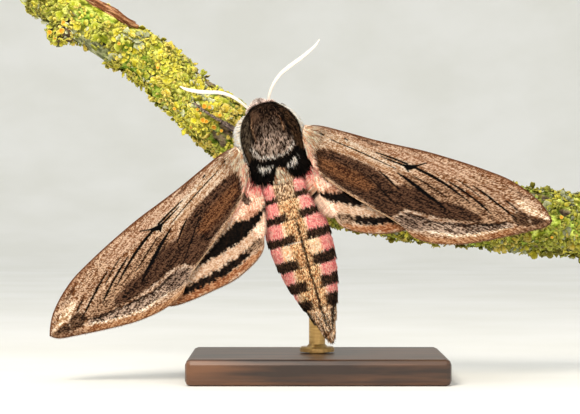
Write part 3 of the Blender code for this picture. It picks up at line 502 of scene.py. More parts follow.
hindMarks = [
    ("shape", [(4.6, 5.2), (8.6, 5.0), (8.4, 6.6), (5.6, 7.2)], 0.6, ("A86850", "E0A080", "FFD0B4"), 0.8),
    ("shape", [(4.2, 2.8), (5.4, 2.9), (6.3, 4.2), (5.4, 4.9), (4.5, 4.2)], 0.25,
     ("040202", "100A07", "38281E"), 0.98),
    ("line", [(4.4, 7.55, 0.4), (6.6, 7.5, 0.7), (8.4, 7.3, 1.1), (10.2, 6.65, 1.65), (12.2, 6.35, 1.65),
              (14, 6.0, 1.45), (16, 5.65, 1.05), (18.2, 5.35, 0.75), (20.6, 5.1, 0.2), (28, 3.0, 0.2)],
     0.22, ("020101", "080504", "1E1611"), 1.0),
    ("line", [(8.8, 10.7, 0.25), (10.2, 10.6, 0.55), (12, 10.6, 0.55), (14, 10.35, 0.75), (16, 9.95, 0.78),
              (18, 9.45, 0.82), (20, 8.8, 0.88), (22, 8.0, 0.9), (24, 7.2, 0.8), (26, 6.4, 0.6),
              (29, 4.6, 0.4)], 0.2, ("020101", "0C0806", "2C2019"), 1.0),
    ("shape", [(8.3, 10.4), (10.2, 9.9), (12.4, 10.2), (12.2, 11.9), (10, 12.4), (8.6, 11.4)], 0.5,
     ("2A1C14", "8C6A50", "E4C8AC"), 0.75),
    ("line", [(11, 12.3, 0.3), (14, 12.0, 0.62), (18, 11.05, 0.66), (22, 9.65, 0.7), (26, 7.9, 0.7),
              (29.6, 5.4, 0.8), (31.2, 1.8, 0.5)], 0.2, ("8A4E2C", "B87A4E", "E0AE84"), 0.95),
]
wingMarks = {
    "fore": {"marks": foreMarks, "lines": foreLines, "ground": ("6E4424", "B88A64", "FFE6CA"),
             "edge": 0.2, "lie": (1.0, 0.1), "jitter": 0.3, "tint": (0.54, 0.485, 0.455),
             "bright": foreBright},
    "hind": {"marks": hindMarks, "lines": [], "ground": ("D0A482", "F2D6B8", "FFEEDC"),
             "edge": 0.22, "lie": (0.5, 0.87), "jitter": 0.8, "tint": (0.56, 0.5, 0.46),
             "bright": hindBright},
}


def marked(colour, tone, x, y, marks):  # a colour with a table's marks laid over it in turn
    for form, points, soft, tones, strength in marks:
        if form == "shape":
            share = patchOf(x, y, points, soft)
        else:
            share = streak(x, y + (0.14 * np.sin(x * 2.4) if form == "zigzag" else 0), points, soft)
        colour = mixed(colour, toned(tone, *tones), share * strength)
    return colour


def wingPaint(kind, u, v, edges, seed):
    look = wingMarks[kind]
    lead, _, outer, vein = edges
    own = np.random.default_rng(seed).random(np.shape(u)) - 0.5
    cu, cv = look["lie"]
    along, across = u * cu + v * cv, v * cu - u * cv
    tone = (0.45 + 2.0 * own + 2.1 * (grain(seed, u / 0.2, v / 0.16) - 0.5)
            + 0.5 * (grain(seed + 8, u / 0.5, v / 0.3) - 0.5)
            + 1.5 * (grain(seed + 1, along / 2.4, across / 0.15) - 0.5))
    # hairs carry the edges of the markings along their lie
    comb = look["jitter"] * (grain(seed + 2, along / 1.1, across / 0.16) - 0.5)
    x = u + cu * comb * 2 + 0.5 * (grain(seed + 3, u / 0.4, v / 0.3) - 0.5)
    y = v + cv * comb + 0.3 * (grain(seed + 4, u / 0.4, v / 0.25) - 0.5) + 0.2 * own
    colour = toned(tone, *look["ground"])
    colour = marked(colour, tone, x, y, look["marks"])
    if kind == "fore":
        rimShare = 0.94 * ramp(1.7 - outer, -0.1, 0.5) * ramp(-u, -47, -43)
        colour = mixed(colour, toned(tone, "7A4626", "B88052", "E2B88E"), rimShare)
        tipShare = 0.8 * ramp(0.9 - outer, -0.3, 0.3) * ramp(u, 43, 46)
        colour = mixed(colour, toned(tone, "5A3A28", "8C664A", "BE9A7A"), tipShare)
        colour = mixed(colour, "6A3F26", 0.8 * ramp(0.34 - lead, -0.08, 0.12))
    for line in look["lines"]:
        bold = [(a, b, half * 1.1 + 0.06) for a, b, half in line]
        colour = mixed(colour, "020101", streak(u, v * 0.8 + y * 0.2, bold, 0.05))
    colour = mixed(colour, "4E3222", 0.18 * np.exp(-(vein / 0.1) ** 2))
    colour = mixed(colour, "44291A", 0.88 * ramp(look["edge"] - outer, -0.08, 0.06)) * look["tint"]
    return marked(colour, tone, x, y, look["bright"])


def underPaint(u, v, edges, seed, span):
    # underside, known from the species: greyish buff with a rosy flush at the root and a dark outer line
    _, _, outer, vein = edges
    own = np.random.default_rng(seed).random(np.shape(u)) - 0.5
    tone = 0.5 + 1.1 * own + grain(seed, u / 0.5, v / 0.3) - 0.5
    colour = toned(tone, "7E6654", "A98D78", "D6BEA8")
    colour = mixed(colour, "D7A493", 0.6 * ramp(0.35 * span - u, 0, 0.3 * span))
    colour = mixed(colour, "4A372C", 0.75 * streak(
        u / span, v / span, [(0.9, 0.0, 0.012), (0.72, 0.1, 0.016), (0.5, 0.2, 0.014)], 0.01))
    colour = mixed(colour, "B58E74", 0.7 * ramp(2.4 - outer, 0, 0.6))
    colour = mixed(colour, "6B4C39", 0.45 * np.exp(-(vein / 0.16) ** 2))
    return mixed(colour, "54392A", 0.8 * ramp(0.3 - outer, -0.08, 0.08))


def wingFace(wing, side, columns):  # the middle surface on a grid, and what is needed to shape and paint it
    s, t = np.linspace(0, 1, wing["rows"]), np.linspace(0, 1, columns)
    grid = wingGrid(wing, s, t)
    width = np.linalg.norm(grid[:, -1] - grid[:, 0], axis=-1)[:, None]
    reach = np.linalg.norm(grid[-1] - grid[-12], axis=-1)[None] / (s[-1] - s[-12])
    vein = np.full(grid.shape[:2], 9.0)
    for where, start in wing["veins"]:
        vein = np.minimum(vein, np.abs(t - where)[None] * width + 3 * ramp(start - s, 0, 0.12)[:, None])
    edges = (t[None] * width, (1 - t)[None] * width, (1 - s)[:, None] * reach, vein)
    rim = np.minimum(np.minimum(edges[0], edges[1]), edges[2])
    half = wingForm["edge"] / 2 + (wingForm["thickness"] - wingForm["edge"]) / 2 * ramp(rim, 0, 0.8)
    rise = wingForm["veinRise"] * np.exp(-(vein / wingForm["veinHalfWidth"]) ** 2) * ramp(rim, 0.1, 0.6)
    dip = wingForm["pleat"] * ramp(vein, 0.2, 1.2) * ramp(rim, 0.2, 1.5)
    return grid, wingPlace(wing, side, grid[..., 0], grid[..., 1]), edges, half + rise - dip, s, t


def makeWing(kind, wing, side, seed):
    rows = wing["rows"]
    grid, upper, edges, height, s, t = wingFace(wing, side, wing["columns"][0])
    lowGrid, lower, lowEdges, depth, _, lowT = wingFace(wing, side, wing["columns"][1])
    upper[..., 2] += height
    lower[..., 2] -= depth
    points, faces = loft(np.concatenate([upper, lower[:, ::-1]], axis=1), capped=False)
    if side == "right":
        faces = [face[::-1] for face in faces]
    above = wingPaint(kind, grid[..., 0], grid[..., 1], edges, seed)
    below = underPaint(lowGrid[..., 0], lowGrid[..., 1], lowEdges, seed + 50, float(grid[..., 0].max()))
    paint = np.concatenate([above, below[:, ::-1]], axis=1).reshape(-1, 3)
    across = np.concatenate([t * 0.47, 1 - lowT[::-1] * 0.47])  # the unwrap: one half for each face
    unwrap = np.stack(np.broadcast_arrays(across[None], s[:, None]), -1).reshape(-1, 2)
    ring = sum(wing["columns"])
    for start in (0, (rows - 1) * ring):  # close the root and the outer margin between the two faces
        whole = list(range(start, start + ring))
        faces.append(whole[::-1] if (start == 0) == (side == "left") else whole)
    addPiece(f"{kind}_wing_{side}", toWorld(points), faces, wingScales, paint, unwrap,
             [f"{kind}wing_{side}"])
    rng = np.random.default_rng(seed + 6)
    addWingHair(kind, wing, side, seed, rng, grid, upper, edges, above)
    addWingEdge(kind, wing, side, rng, upper, above)


def addWingHair(kind, wing, side, seed, rng, grid, upper, edges, above):
    # hair scales on the upper face, long and close at the root and few farther out
    hair = wing["hair"]
    rows, columns = upper.shape[:2]
    index = np.arange(rows * columns).reshape(rows, columns)
    quads = np.stack([index[:-1, :-1], index[:-1, 1:], index[1:, 1:], index[1:, :-1]], -1).reshape(-1, 4)
    surface = surfaceOf(upper.reshape(-1, 3), quads[:, ::-1] if side == "left" else quads)
    surface["normals"] *= np.where(surface["normals"][:, 2:] < 0, -1, 1)
    uOf, leadOf = grid[..., 0].reshape(-1), edges[0].reshape(-1)
    tree = surface["triangles"][:, 0]

    def closeness(_):
        return (hair["sparse"] + np.exp(-(uOf[tree] / hair["reach"]) ** 2)) * ramp(leadOf[tree], 0.1, 0.8)

    roots, normals, first = scatter(surface, hair["count"], seed + 5, closeness)
    outward = unit(np.gradient(upper, axis=0)).reshape(-1, 3)[first]
    near = np.exp(-(uOf[first] / hair["reach"]) ** 2)
    length = (hair["short"] + (hair["long"] - hair["short"]) * near) * rng.uniform(0.7, 1.25, len(first))
    farther = (length * 0.6 * rows / grid[-1, 0, 0]).astype(int)
    ahead = np.minimum(first + farther * columns, rows * columns - 1)
    colour = np.minimum(above.reshape(-1, 3)[ahead] * rng.uniform(0.9, 1.3, (len(first), 1))
                        * np.array([1.2, 1.08, 0.98]), 1)
    lie = outward + np.cross(normals, outward) * rng.normal(0, 0.16, (len(first), 1))
    row, column = np.unravel_index(first, (rows, columns))
    unwrap = np.column_stack([column / columns * 0.99, row / rows * 0.99])
    # painted shade at each hair's root and a painted highlight at its tip
    points, faces, paint, uv = tuftMesh(
        roots, normals, lie, length, 0.1, np.radians(3 + 8 * near), colour, colour * 1.15, unwrap,
        flat=0.25, sunk=0.04, rootShade=0.85)
    addPiece(f"{kind}_wing_hair_{side}", toWorld(points), faces, wingScales, paint, uv)


def addWingEdge(kind, wing, side, rng, upper, above):
    # short scales past the outer margin and the hind one, where a hindwing has long hair instead
    rows, columns = upper.shape[:2]
    middle = (upper + wingFace(wing, side, columns)[1]) / 2
    count, innerCount = wingForm["fringeScales"], wingForm["edgeScales"]
    rim, back = middle[-1], middle[-4]
    hindRim, hindBack = middle[:, -1], middle[:, -4]
    at = rng.integers(1, columns, count)
    along = rng.integers(int(rows * 0.08), rows, innerCount)
    edge = np.vstack([rim[at], hindRim[along]])
    out = unit(edge - np.vstack([back[at], hindBack[along]]))
    edgeLine = unit(np.gradient(hindRim, axis=0))[along]
    out[count:] -= edgeLine * (out[count:] * edgeLine).sum(axis=1)[:, None]  # straight out from the edge
    out[count:] = unit(out[count:]) + wing["edgeLean"] * edgeLine
    length = rng.uniform(0.6, 1.0, len(edge))
    length[:count] *= wingForm["fringe"]
    length[count:] *= wing["edgeHair"][side] * ramp(along / rows, 0, wing["edgeFrom"])
    length[count:] *= 1 - 0.6 * ramp(along / rows, 0.84, 1)
    outerTones, light = mixed("6E4A33", "B98E6C", rng.random(count)), rng.random(innerCount)
    innerTones = mixed("B58C66", "EED2AE", light)
    if kind == "hind":
        creamed = mixed(above[along, -6], "F6CBB2", 0.6 * ramp(along / rows, 0.56, 0.68))
        innerTones = np.minimum(creamed * (0.85 + 0.4 * light[:, None]), 1)
    tones = np.vstack([outerTones, innerTones])
    normals = np.array([[0, 0, 1.0]]) * rng.choice([-1.0, 1.0], (len(edge), 1))
    unwrap = np.column_stack([np.linspace(0, 0.99, len(edge)), rng.random(len(edge)) * 0.9])
    # painted shade at the forewing scales' roots, and a painted highlight at every scale's tip
    points, faces, paint, uv = tuftMesh(
        edge - unit(out) * 0.25, normals, out, length, 0.12, 0.05, tones, tones * 1.1, unwrap,
        flat=0.2, sunk=0.02, rootShade=0.6 if kind == "fore" else 1.0)
    addPiece(f"{kind}_wing_fringe_{side}", toWorld(points), faces, wingScales, paint, uv)


for side, seed in (("left", 100), ("right", 200)):
    makeWing("fore", forewing, side, seed)
    makeWing("hind", hindwing, side, seed + 20)
print("wings ready")

thorax = {
    # y, half width, top z, bottom z, height of the widest part
    "sections": [
        (6.15, 0.0, 2.2, 2.2, 2.2), (5.75, 2.2, 3.7, 0.4, 1.2), (4.9, 3.6, 4.8, -1.8, 0.4),
        (3.6, 4.9, 5.6, -3.8, 0.4), (2.0, 5.9, 6.15, -5.1, 0.4), (0.2, 6.45, 6.45, -5.8, 0.4),
        (-1.8, 6.55, 6.5, -6.0, 0.4), (-3.8, 6.2, 6.3, -5.9, 0.4), (-5.6, 5.85, 6.0, -5.5, 0.4),
        (-7.2, 5.6, 5.5, -4.9, 0.4), (-8.4, 4.8, 4.8, -4.1, 0.4), (-9.2, 3.3, 3.5, -2.9, 0.4),
        (-9.5, 0.0, 0.3, 0.3, 0.3)],
    "tegulaRise": 0.075, "tegulaAtDeg": 48.0, "tegulaSpreadDeg": 17.0,
    "coat": 0.5, "span": (-10, 7),  # y from the rear to the front of its unwrap
}
abdomen = {
    "front": -7.6, "tip": -41.0, "bend": 1.7, "z": -0.45, "height": 0.9, "coat": 0.22, "span": (-42, -7),
    "halfWidth": [(-7.6, 4.3), (-10.0, 5.15), (-12.7, 5.5), (-16.7, 5.9), (-20.9, 6.15), (-25.9, 5.65),
                  (-30.4, 4.65), (-34.1, 3.4), (-37.3, 2.25), (-39.8, 1.35), (-41.0, 0.7)],
    "segmentEnds": (-12.7, -16.7, -20.9, -25.9, -30.4, -34.1, -37.3), "segmentStep": 0.13,
}
head = {
    "at": (-0.75, 3.9, -2.7), "half": (2.5, 3.0, 2.7), "turnDeg": 6.0, "coat": 0.28, "span": (0, 8),
    "eyeAt": (1.75, 0.2, -0.2), "eyeRadius": 1.7,
    "palpAt": (0.8, 1.75, -1.75), "palpHalf": (0.72, 1.0, 1.75), "palpLeanDeg": 24.0,
}
skin = {
    "voxel": 0.24, "soften": 0.5, "softenRounds": 3,  # how fine the one surface is, and how much smoothed
    "shade": 0.85,  # a little darker than the coat over it
    "thoraxGrid": (70, 72), "abdomenGrid": (150, 64), "headGrid": (30, 40), "palpGrid": (20, 24),
    "eyeGrid": (40, 48),  # rings and sides of each shape
}


def abdomenMiddle(y):
    back = np.clip((y - abdomen["front"]) / (abdomen["tip"] - abdomen["front"]), 0, 1.1)
    return abdomen["bend"] * back ** 1.4


def abdomenHalf(y):
    table = np.array(abdomen["halfWidth"])[::-1]
    return np.interp(y, table[:, 0], table[:, 1])


def thoraxRings(count, sides):
    table = through(np.column_stack([thorax["sections"], np.linspace(0, 1, 13)]), count)
    turn = np.linspace(0, 2 * math.pi, sides, endpoint=False)
    y, half, top, bottom, middle, ring = (column[:, None] for column in table.T)
    up = np.sin(turn)[None]
    height = np.where(up > 0, top, bottom)
    offCrest = np.abs(np.degrees(turn) - 90) - thorax["tegulaAtDeg"]
    flap = np.exp(-(offCrest / thorax["tegulaSpreadDeg"]) ** 2)
    grown = 1 + thorax["tegulaRise"] * np.where(up > 0, flap, 0) * np.sin(math.pi * ring)
    x = np.maximum(half, 0.02) * np.cos(turn)[None] * grown
    return np.stack(np.broadcast_arrays(x, y, middle + (height - middle) * np.abs(up) * grown), -1)


def abdomenRings(count, sides):
    y = np.linspace(abdomen["front"], abdomen["tip"], count)
    table = through(abdomen["halfWidth"][::-1], 80)
    half = np.interp(y, table[:, 0], table[:, 1])
    for end in abdomen["segmentEnds"]:  # each segment's hind edge stands over the next
        past = y - end
        half = half + abdomen["segmentStep"] * np.where(past > 0, np.exp(-past / 0.9), -np.exp(past / 0.7))
    half[[0, -1]] = 0.05
    turn = np.linspace(0, 2 * math.pi, sides, endpoint=False)
    x = abdomenMiddle(y)[:, None] + half[:, None] * np.cos(turn)
    z = abdomen["z"] + half[:, None] * np.sin(turn) * abdomen["height"]
    return np.stack(np.broadcast_arrays(x, y[:, None], z), -1)


def ellipsoidRings(centre, half, turn, count, sides):
    down = np.linspace(0.02, math.pi - 0.02, count)[:, None]
    around = np.linspace(0, 2 * math.pi, sides, endpoint=False)[None]
    shape = np.stack(np.broadcast_arrays(
        np.sin(down) * np.cos(around), np.sin(down) * np.sin(around), np.cos(down)), -1)
    return np.array(centre) + (shape * np.array(half)) @ np.array(turn).T


headTurn = Matrix.Rotation(math.radians(head["turnDeg"]), 3, "Z")
palpTurn = headTurn @ Matrix.Rotation(math.radians(-head["palpLeanDeg"]), 3, "X")
headAt = Vector(head["at"])


def onHead(place, sign):  # a place on the head's right, or its mirror on the left
    x, y, z = place
    return headAt + headTurn @ Vector((sign * x, y, z))


faceParts = [ellipsoidRings(head["at"], head["half"], headTurn, *skin["headGrid"])]
for sign in (-1, 1):
    palpPlace = onHead(head["palpAt"], sign)
    faceParts.append(ellipsoidRings(palpPlace, head["palpHalf"], palpTurn, *skin["palpGrid"]))


def makeSkin():  # thorax, abdomen and face run into one surface
    rings = (thoraxRings(*skin["thoraxGrid"]), abdomenRings(*skin["abdomenGrid"]), *faceParts)
    points, faces, _ = joined([(*loft(ring), 0.0) for ring in rings])
    data = bpy.data.meshes.new("moth_skin")
    data.from_pydata(points.tolist(), [], faces)
    piece = bpy.data.objects.new("moth_skin", data)
    bpy.context.scene.collection.objects.link(piece)
    remesh = piece.modifiers.new("one surface", "REMESH")
    remesh.mode, remesh.voxel_size = "VOXEL", skin["voxel"]
    soften = piece.modifiers.new("soften", "SMOOTH")
    soften.factor, soften.iterations = skin["soften"], skin["softenRounds"]
    bpy.context.view_layer.update()
    done = bpy.data.meshes.new_from_object(piece.evaluated_get(bpy.context.evaluated_depsgraph_get()))
    bpy.data.objects.remove(piece, do_unlink=True)
    places = np.empty(len(done.vertices) * 3)
    done.vertices.foreach_get("co", places)
    places = places.reshape(-1, 3)
    faces = [list(face.vertices) for face in done.polygons]
    surface = surfaceOf(places, faces)
    if surface["normals"][np.argmax(places[:, 2]), 2] < 0:
        faces = [face[::-1] for face in faces]
        surface = surfaceOf(places, faces)
    return places, faces, surface


skinPoints, skinFaces, skinSurface = makeSkin()


def regionOf(places):  # 0 thorax, 1 abdomen, 2 face
    x, y, z = places.T
    across = np.hypot((x - head["at"][0]) / 2.9, (y - head["at"][1] - 0.4) / 3.6)
    face = (across < 1) & (z < 0.6) & (y > 2.2) | (y > 2.0) & (z < -3.2)
    return np.where(face, 2, np.where((y < -8.8) | (y < -7.6) & (z < 3.6), 1, 0))


thoraxTones = {
    "disc": ("060301", "261811", "6C5240"), "litLeftFlap": ("120D08", "382E23", "6E5F4E"),
    "shadedRightFlap": ("0C0704", "2E1E12", "624630"), "rust": ("7A4A2C", "B8825A", "E4B48C"),
    "black": ("010101", "050403", "18120F"), "rear": ("1A100A", "725646", "DCC2B0"),
    "white": ("3A2A20", "EEDACA", "FFF8EE"), "tan": ("8E583A", "FFC092", "FFF0D4"),
    "fringe": ("F4DEC2", "FFF6E2", "FFFFFA"), "belly": ("B89A86", "DCC4B0", "F4E6D8"),
}
abdomenTones = {
    "tan": ("6A4022", "E09A62", "FFDCAC"), "front": ("5C3A24", "C8986E", "F6D8B4"),
    "pink": ("E47074", "FA9A96", "FFC8B6"), "cream": ("F0AE80", "FFDAAE", "FFF2D8"),
    "black": ("030201", "24170F", "543C2C"), "tip": ("6A4228", "EAB482", "FFE6C8"),
    "belly": ("C0A08C", "E0C6B2", "F6E8DA"),
}
faceTones = {"grey": ("8A7066", "D0B4A8", "FCEEE6"), "dark": ("2A1E18", "54433A", "8A766A"),
             "white": ("CFC0B2", "F4EBDE", "FFFCF6")}
abdomenBands = [  # front and rear edge, inner ends on the left and right
    (-12.05, -13.1, -1.8, 1.7), (-15.55, -17.05, -1.0, 1.6), (-19.7, -21.45, -0.5, 2.0),
    (-24.35, -26.4, -0.9, 2.0), (-28.65, -30.8, -0.4, 2.6), (-32.4, -34.5, -0.2, 2.7)]
abdomenSpots = [  # front and rear edge, inner ends, and where cream turns to pink, on the left and right
    (-9.0, -12.3, -2.2, 2.0, -1.8, 1.7), (-13.0, -15.7, -2.0, 2.0, -1.9, 2.1),
    (-16.9, -19.9, -1.8, 2.2, -2.3, 2.4), (-21.3, -24.5, -1.6, 2.1, -3.4, 4.2),
    (-26.3, -28.8, -2.0, 2.8, -2.2, 3.0), (-30.6, -32.6, -2.1, 2.8, -2.5, 3.3)]


def speckleOf(places, seed, gain=1.5, shared=0.9):  # a tone for every tuft, partly its neighbours' too
    own = np.random.default_rng(seed).random(len(places)) - 0.5
    return 0.5 + gain * own + shared * (grain(seed, *(places / 0.34).T) - 0.5)


def wander(places, seed, amount, rough):  # markings with soft, furry edges
    x, y, _ = places.T
    rng = np.random.default_rng(seed + 7)
    return [part + amount * (grain(seed + k, x / 0.45, y / 0.6) - 0.5) + rng.normal(0, rough, len(x))
            for k, part in enumerate((x, y))]


def thoraxPaint(places, seed):
    tone = speckleOf(places, seed, 1.9, 2.2)
    x, y = wander(places, seed + 1, 0.4, 0.07)
    tones = {name: toned(tone, *three) for name, three in thoraxTones.items()}
    colour = toned(tone - 0.22, *thoraxTones["disc"])
    colour = mixed(colour, "7A5C48", 0.5 * patchOf(
        x, y, [(-3.0, 4.6), (-1.6, 4.4), (-1.4, 3.0), (-2.8, 2.2)], 0.5))
    colour = mixed(colour, tones["rear"], 0.24 * patchOf(
        x, y, [(-2.2, 1.6), (1.6, 2), (2.4, -1.2), (-2.6, -1.4)], 1.2))
    colour = mixed(colour, "120A06", 0.75 * np.exp(-((x + 0.3) / 0.8) ** 2 - ((y - 3.5) / 0.8) ** 2))
    colour = mixed(colour, "120A06", 0.6 * ramp(y, 4.2, 5.6))
    # the flaps: the right one painted darker than the left, painted shade on the side turned from the light
    flap = np.where((x < -0.5)[:, None], tones["litLeftFlap"], tones["shadedRightFlap"])
    flapEdge = np.where(x < 0, 3.5, np.interp(y, [-4, -1, 2.5, 5], [4.5, 3.6, 2.9, 2.0]))
    colour = mixed(colour, flap, 0.92 * ramp(np.abs(x), flapEdge - 0.15, flapEdge + 0.2))
    colour = mixed(colour, "765A44", 0.6 * streak(x, y, [(-5.2, -2.6, 0.2), (-5.2, -5, 0.5)], 0.4))
    colour = mixed(colour, "6E5036", 0.45 * streak(
        x, y, [(3.8, -1.6, 0.05), (4.9, -2.8, 0.2), (5.1, -4.2, 0.3)], 0.3))
    for line, strength in (
            ([(-2.7, 5.2, 0.3), (-3.3, 3.6, 0.3), (-3.6, 1.6, 0.24), (-3.7, -1.2, 0.2)], 0.9),
            ([(1.9, 5.2, 0.3), (2.6, 3.6, 0.26), (3.1, 1.4, 0.24), (3.5, -1.2, 0.26), (4.3, -2.8, 0.22)],
             0.92),
            ([(-4.4, 4.4, 0.2), (-5.5, 2.7, 0.2), (-5.9, 0.6, 0.2), (-5.8, -2, 0.16), (-5.5, -4.6, 0.2)],
             0.8),
            ([(3.4, 5.0, 0.25), (4.4, 3.4, 0.2), (5.2, 1.5, 0.2), (5.6, -0.4, 0.2), (5.5, -2.4, 0.16)],
             0.8)):
        colour = mixed(colour, tones["black"], strength * streak(x, y, line, 0.16))
    for line in ([(-2.6, 3.6, 0.05), (-3.1, 2.2, 0.1), (-3.2, 0.4, 0.1), (-3.1, -0.8, 0.06)],
                 [(2.0, 3.2, 0.05), (2.5, 2.0, 0.1), (2.6, 0.6, 0.1), (2.5, -0.2, 0.05)]):
        colour = mixed(colour, tones["rust"], 0.7 * streak(x, y, line, 0.1))
    brow = 0.85 * ramp(np.hypot(x / 5.9, (y + 1) / 7.0), 0.9, 0.98) * ramp(y, 2.4, 4.2)
    colour = mixed(colour, tones["black"], brow)
    colour = mixed(colour, tones["rear"], 0.9 * patchOf(
        x, y, [(-3.6, -1.4), (-1.4, -0.6), (1.8, -0.8), (3.4, -1.8), (3.8, -3.0), (2.8, -4.6), (0, -5.0),
               (-3, -4.9), (-3.9, -3.4)], 0.85))
    colour = mixed(colour, tones["white"], 0.88 * streak(
        x, y, [(-4.1, -2.3, 0.2), (-3.7, -3.4, 0.46), (-2.4, -4.5, 0.34), (0, -4.75, 0.16),
               (2.2, -4.5, 0.18), (3.2, -3.5, 0.28), (3.8, -2.8, 0.1)], 0.26) * ramp(tone, 0.3, 0.8))
    colour = mixed(colour, tones["black"], patchOf(
        x, y, [(-4.7, -4.0), (-4.0, -4.35), (-2.6, -5.0), (0, -5.1), (2.4, -4.95), (3.2, -4.3), (4.0, -3.3),
               (4.7, -3.8), (5.4, -5.2), (6.3, -7.6), (6, -11.5), (-6, -11.5), (-6.6, -7.8), (-5.6, -5.4)],
        0.16))
    spots = np.maximum(
        streak(x, y, [(-3.9, -6.0, 0.14), (-3.1, -6.6, 0.5), (-2.2, -6.8, 0.55), (-1.3, -6.4, 0.2)], 0.24),
        streak(x, y, [(1.5, -6.8, 0.2), (2.5, -6.9, 0.5), (3.3, -6.3, 0.55), (3.9, -5.8, 0.24)], 0.24))
    colour = mixed(colour, tones["white"], 0.95 * spots * ramp(tone, 0.12, 0.45))
    colour = mixed(colour, tones["tan"], 0.96 * patchOf(
        x, y, [(-0.4, -6.9), (0.4, -6.9), (1.1, -7.9), (2.2, -9.0), (2.1, -9.7), (1.2, -11.5), (-1.2, -11.5),
               (-1.9, -9.6), (-1.8, -8.9), (-0.9, -7.9)], 0.2))
    # white fringe under the flaps, and a pale rosy underside
    angle = np.degrees(np.arctan2(places[:, 2] - 0.4, np.abs(places[:, 0])))
    angle = angle + np.random.default_rng(seed).normal(0, 2, len(x))
    start = np.where(x < 0, 21 - 9 * ramp(y, 1.5, 3.8), 25.0) - 4 * ramp(-y, 1.0, 4.0)
    colour = mixed(colour, tones["fringe"], ramp(start - angle, -2, 3) * ramp(y, -5.6, -4.4))
    return mixed(colour, tones["belly"], ramp(-14 - angle, 0, 12))


def abdomenPaint(places, seed):
    tone = speckleOf(places, seed, 1.7)
    x, y = wander(places, seed + 1, 0.3, 0.07)
    comb = 0.7 * (grain(seed + 5, places[:, 0] / 0.14, places[:, 1] / 1.6) - 0.5)
    p = y - 0.05 * x + comb
    tones = {name: toned(tone, *three) for name, three in abdomenTones.items()}
    colour = mixed(tones["tan"], tones["front"], ramp(p, -14.2, -11.6))
    for line in ([(-1.4, -10, 0.1), (-1.2, -12, 0.2)], [(1.9, -10, 0.1), (1.8, -12, 0.24)]):
        colour = mixed(colour, "4A3020", 0.7 * streak(x, y, line, 0.24))
    colour = mixed(colour, "1E120A", 0.85 * streak(
        x, y, [(-2.1, -9.75, 0.1), (0, -10.15, 0.16), (2.2, -9.85, 0.1)], 0.12))
    for front, rear, left, right, turnLeft, turnRight in abdomenSpots:
        here = ramp(np.minimum(front - p, p - rear), -0.15, 0.2)
        inner, turnsAt = np.where(x < 0.4, -left, right), np.where(x < 0.4, -turnLeft, turnRight)
        flank = mixed(tones["cream"], tones["pink"], ramp(np.abs(x) - turnsAt, -0.4, 0.5))
        colour = mixed(colour, flank, here * ramp(np.abs(x) - inner, -0.35, 0.25))
    for front, rear, left, right in abdomenBands:
        inner = np.where(x < 0.6, -left, right)
        here = ramp(np.minimum(front - p, p - rear), -0.12, 0.14)
        inward = np.abs(x - 0.6) - (inner + np.where(x < 0.6, 0.6, -0.6))
        colour = mixed(colour, tones["black"], here * ramp(inward, -0.6, 0.3))
        seam = 0.1 - np.abs(places[:, 1] - 0.05 * x - rear - 0.1)
        colour = mixed(colour, "1E120A", 0.7 * ramp(seam, -0.06, 0.06))
    # painted highlight: a white glint along the shiny edge of one segment
    colour = mixed(colour, "FFF2E0", 0.8 * streak(
        x, places[:, 1], [(-2.0, -21.35, 0.02), (0, -21.5, 0.1), (1.5, -21.4, 0.02)], 0.1))
    # towards the tip: tan and white with black streaks
    colour = mixed(colour, tones["tip"], ramp(-p, 34.3, 35.0))
    for line in ([(-1.9, -34.2, 0.5), (-1.0, -36.6, 0.32), (-0.2, -38.6, 0.14)],
                 [(3.9, -34.2, 0.5), (3.0, -36.8, 0.34), (2.4, -39, 0.14)],
                 [(-2.6, -35, 0.1), (-1.4, -37.4, 0.2)], [(0.3, -36, 0.1), (0.9, -40, 0.14)],
                 [(2.0, -36, 0.1), (1.9, -40, 0.14)],
                 [(0.75, -16.6, 0.1), (0.75, -19, 0.24), (0.8, -22, 0.26), (0.9, -25.7, 0.2),
                  (1.0, -28, 0.24), (1.1, -30.3, 0.2), (1.2, -34, 0.26), (1.5, -38, 0.2)]):
        colour = mixed(colour, "0C0603", 0.92 * streak(x, y, line, 0.12))
    # flanks fade to a pale rosy belly with dark dots along the middle
    belly = tones["belly"]
    for end in abdomen["segmentEnds"]:
        dot = np.exp(-((x - abdomenMiddle(y)) / 0.7) ** 2 - ((y - end - 1.2) / 0.8) ** 2)
        belly = mixed(belly, "6B5040", 0.6 * dot)
    across = np.abs(places[:, 0] - abdomenMiddle(places[:, 1]))
    angle = np.degrees(np.arctan2(places[:, 2] - abdomen["z"], across))
    return mixed(colour, belly, ramp(-angle + np.random.default_rng(seed).normal(0, 5, len(x)), 14, 34))


def facePaint(places, seed):
    x, y, z = (places - np.array(head["at"])).T
    tone = speckleOf(places, seed)
    tones = {name: toned(tone, *three) for name, three in faceTones.items()}
    colour = tones["grey"]
    parting = 0.8 * ramp(0.22 - np.abs(x - 0.25), -0.15, 0.15) * ramp(z, -1.0, 0.2)
    colour = mixed(colour, tones["dark"], parting)
    colour = mixed(colour, tones["dark"], 0.6 * ramp(-z, 0.6, 2.4) * ramp(y, 1.6, 2.6))
    # a white stripe over each eye, and the white outer face of the palps
    stripe = 0.95 * ramp(0.5 - np.abs(z - 1.2 + 0.12 * y), -0.2, 0.2) * ramp(np.abs(x), 1.1, 1.5)
    colour = mixed(colour, tones["white"], stripe)
    colour = mixed(colour, tones["white"], 0.7 * ramp(-z, 1.9, 2.7) * ramp(-y, -1.6, -0.8))
    palpFace = 0.7 * ramp(-z, 2.2, 3.2) * ramp(np.abs(x), 0.9, 1.3) * ramp(y, 0.8, 1.4)
    return mixed(colour, tones["white"], palpFace)


regions = [(thorax, thoraxPaint), (abdomen, abdomenPaint), (head, facePaint)]


def bodyPaint(places, seed):
    region = regionOf(places)[:, None]
    colours = [paint(places, seed + 10 * k) for k, (_, paint) in enumerate(regions)]
    return np.where(region == 1, colours[1], np.where(region == 2, colours[2], colours[0]))


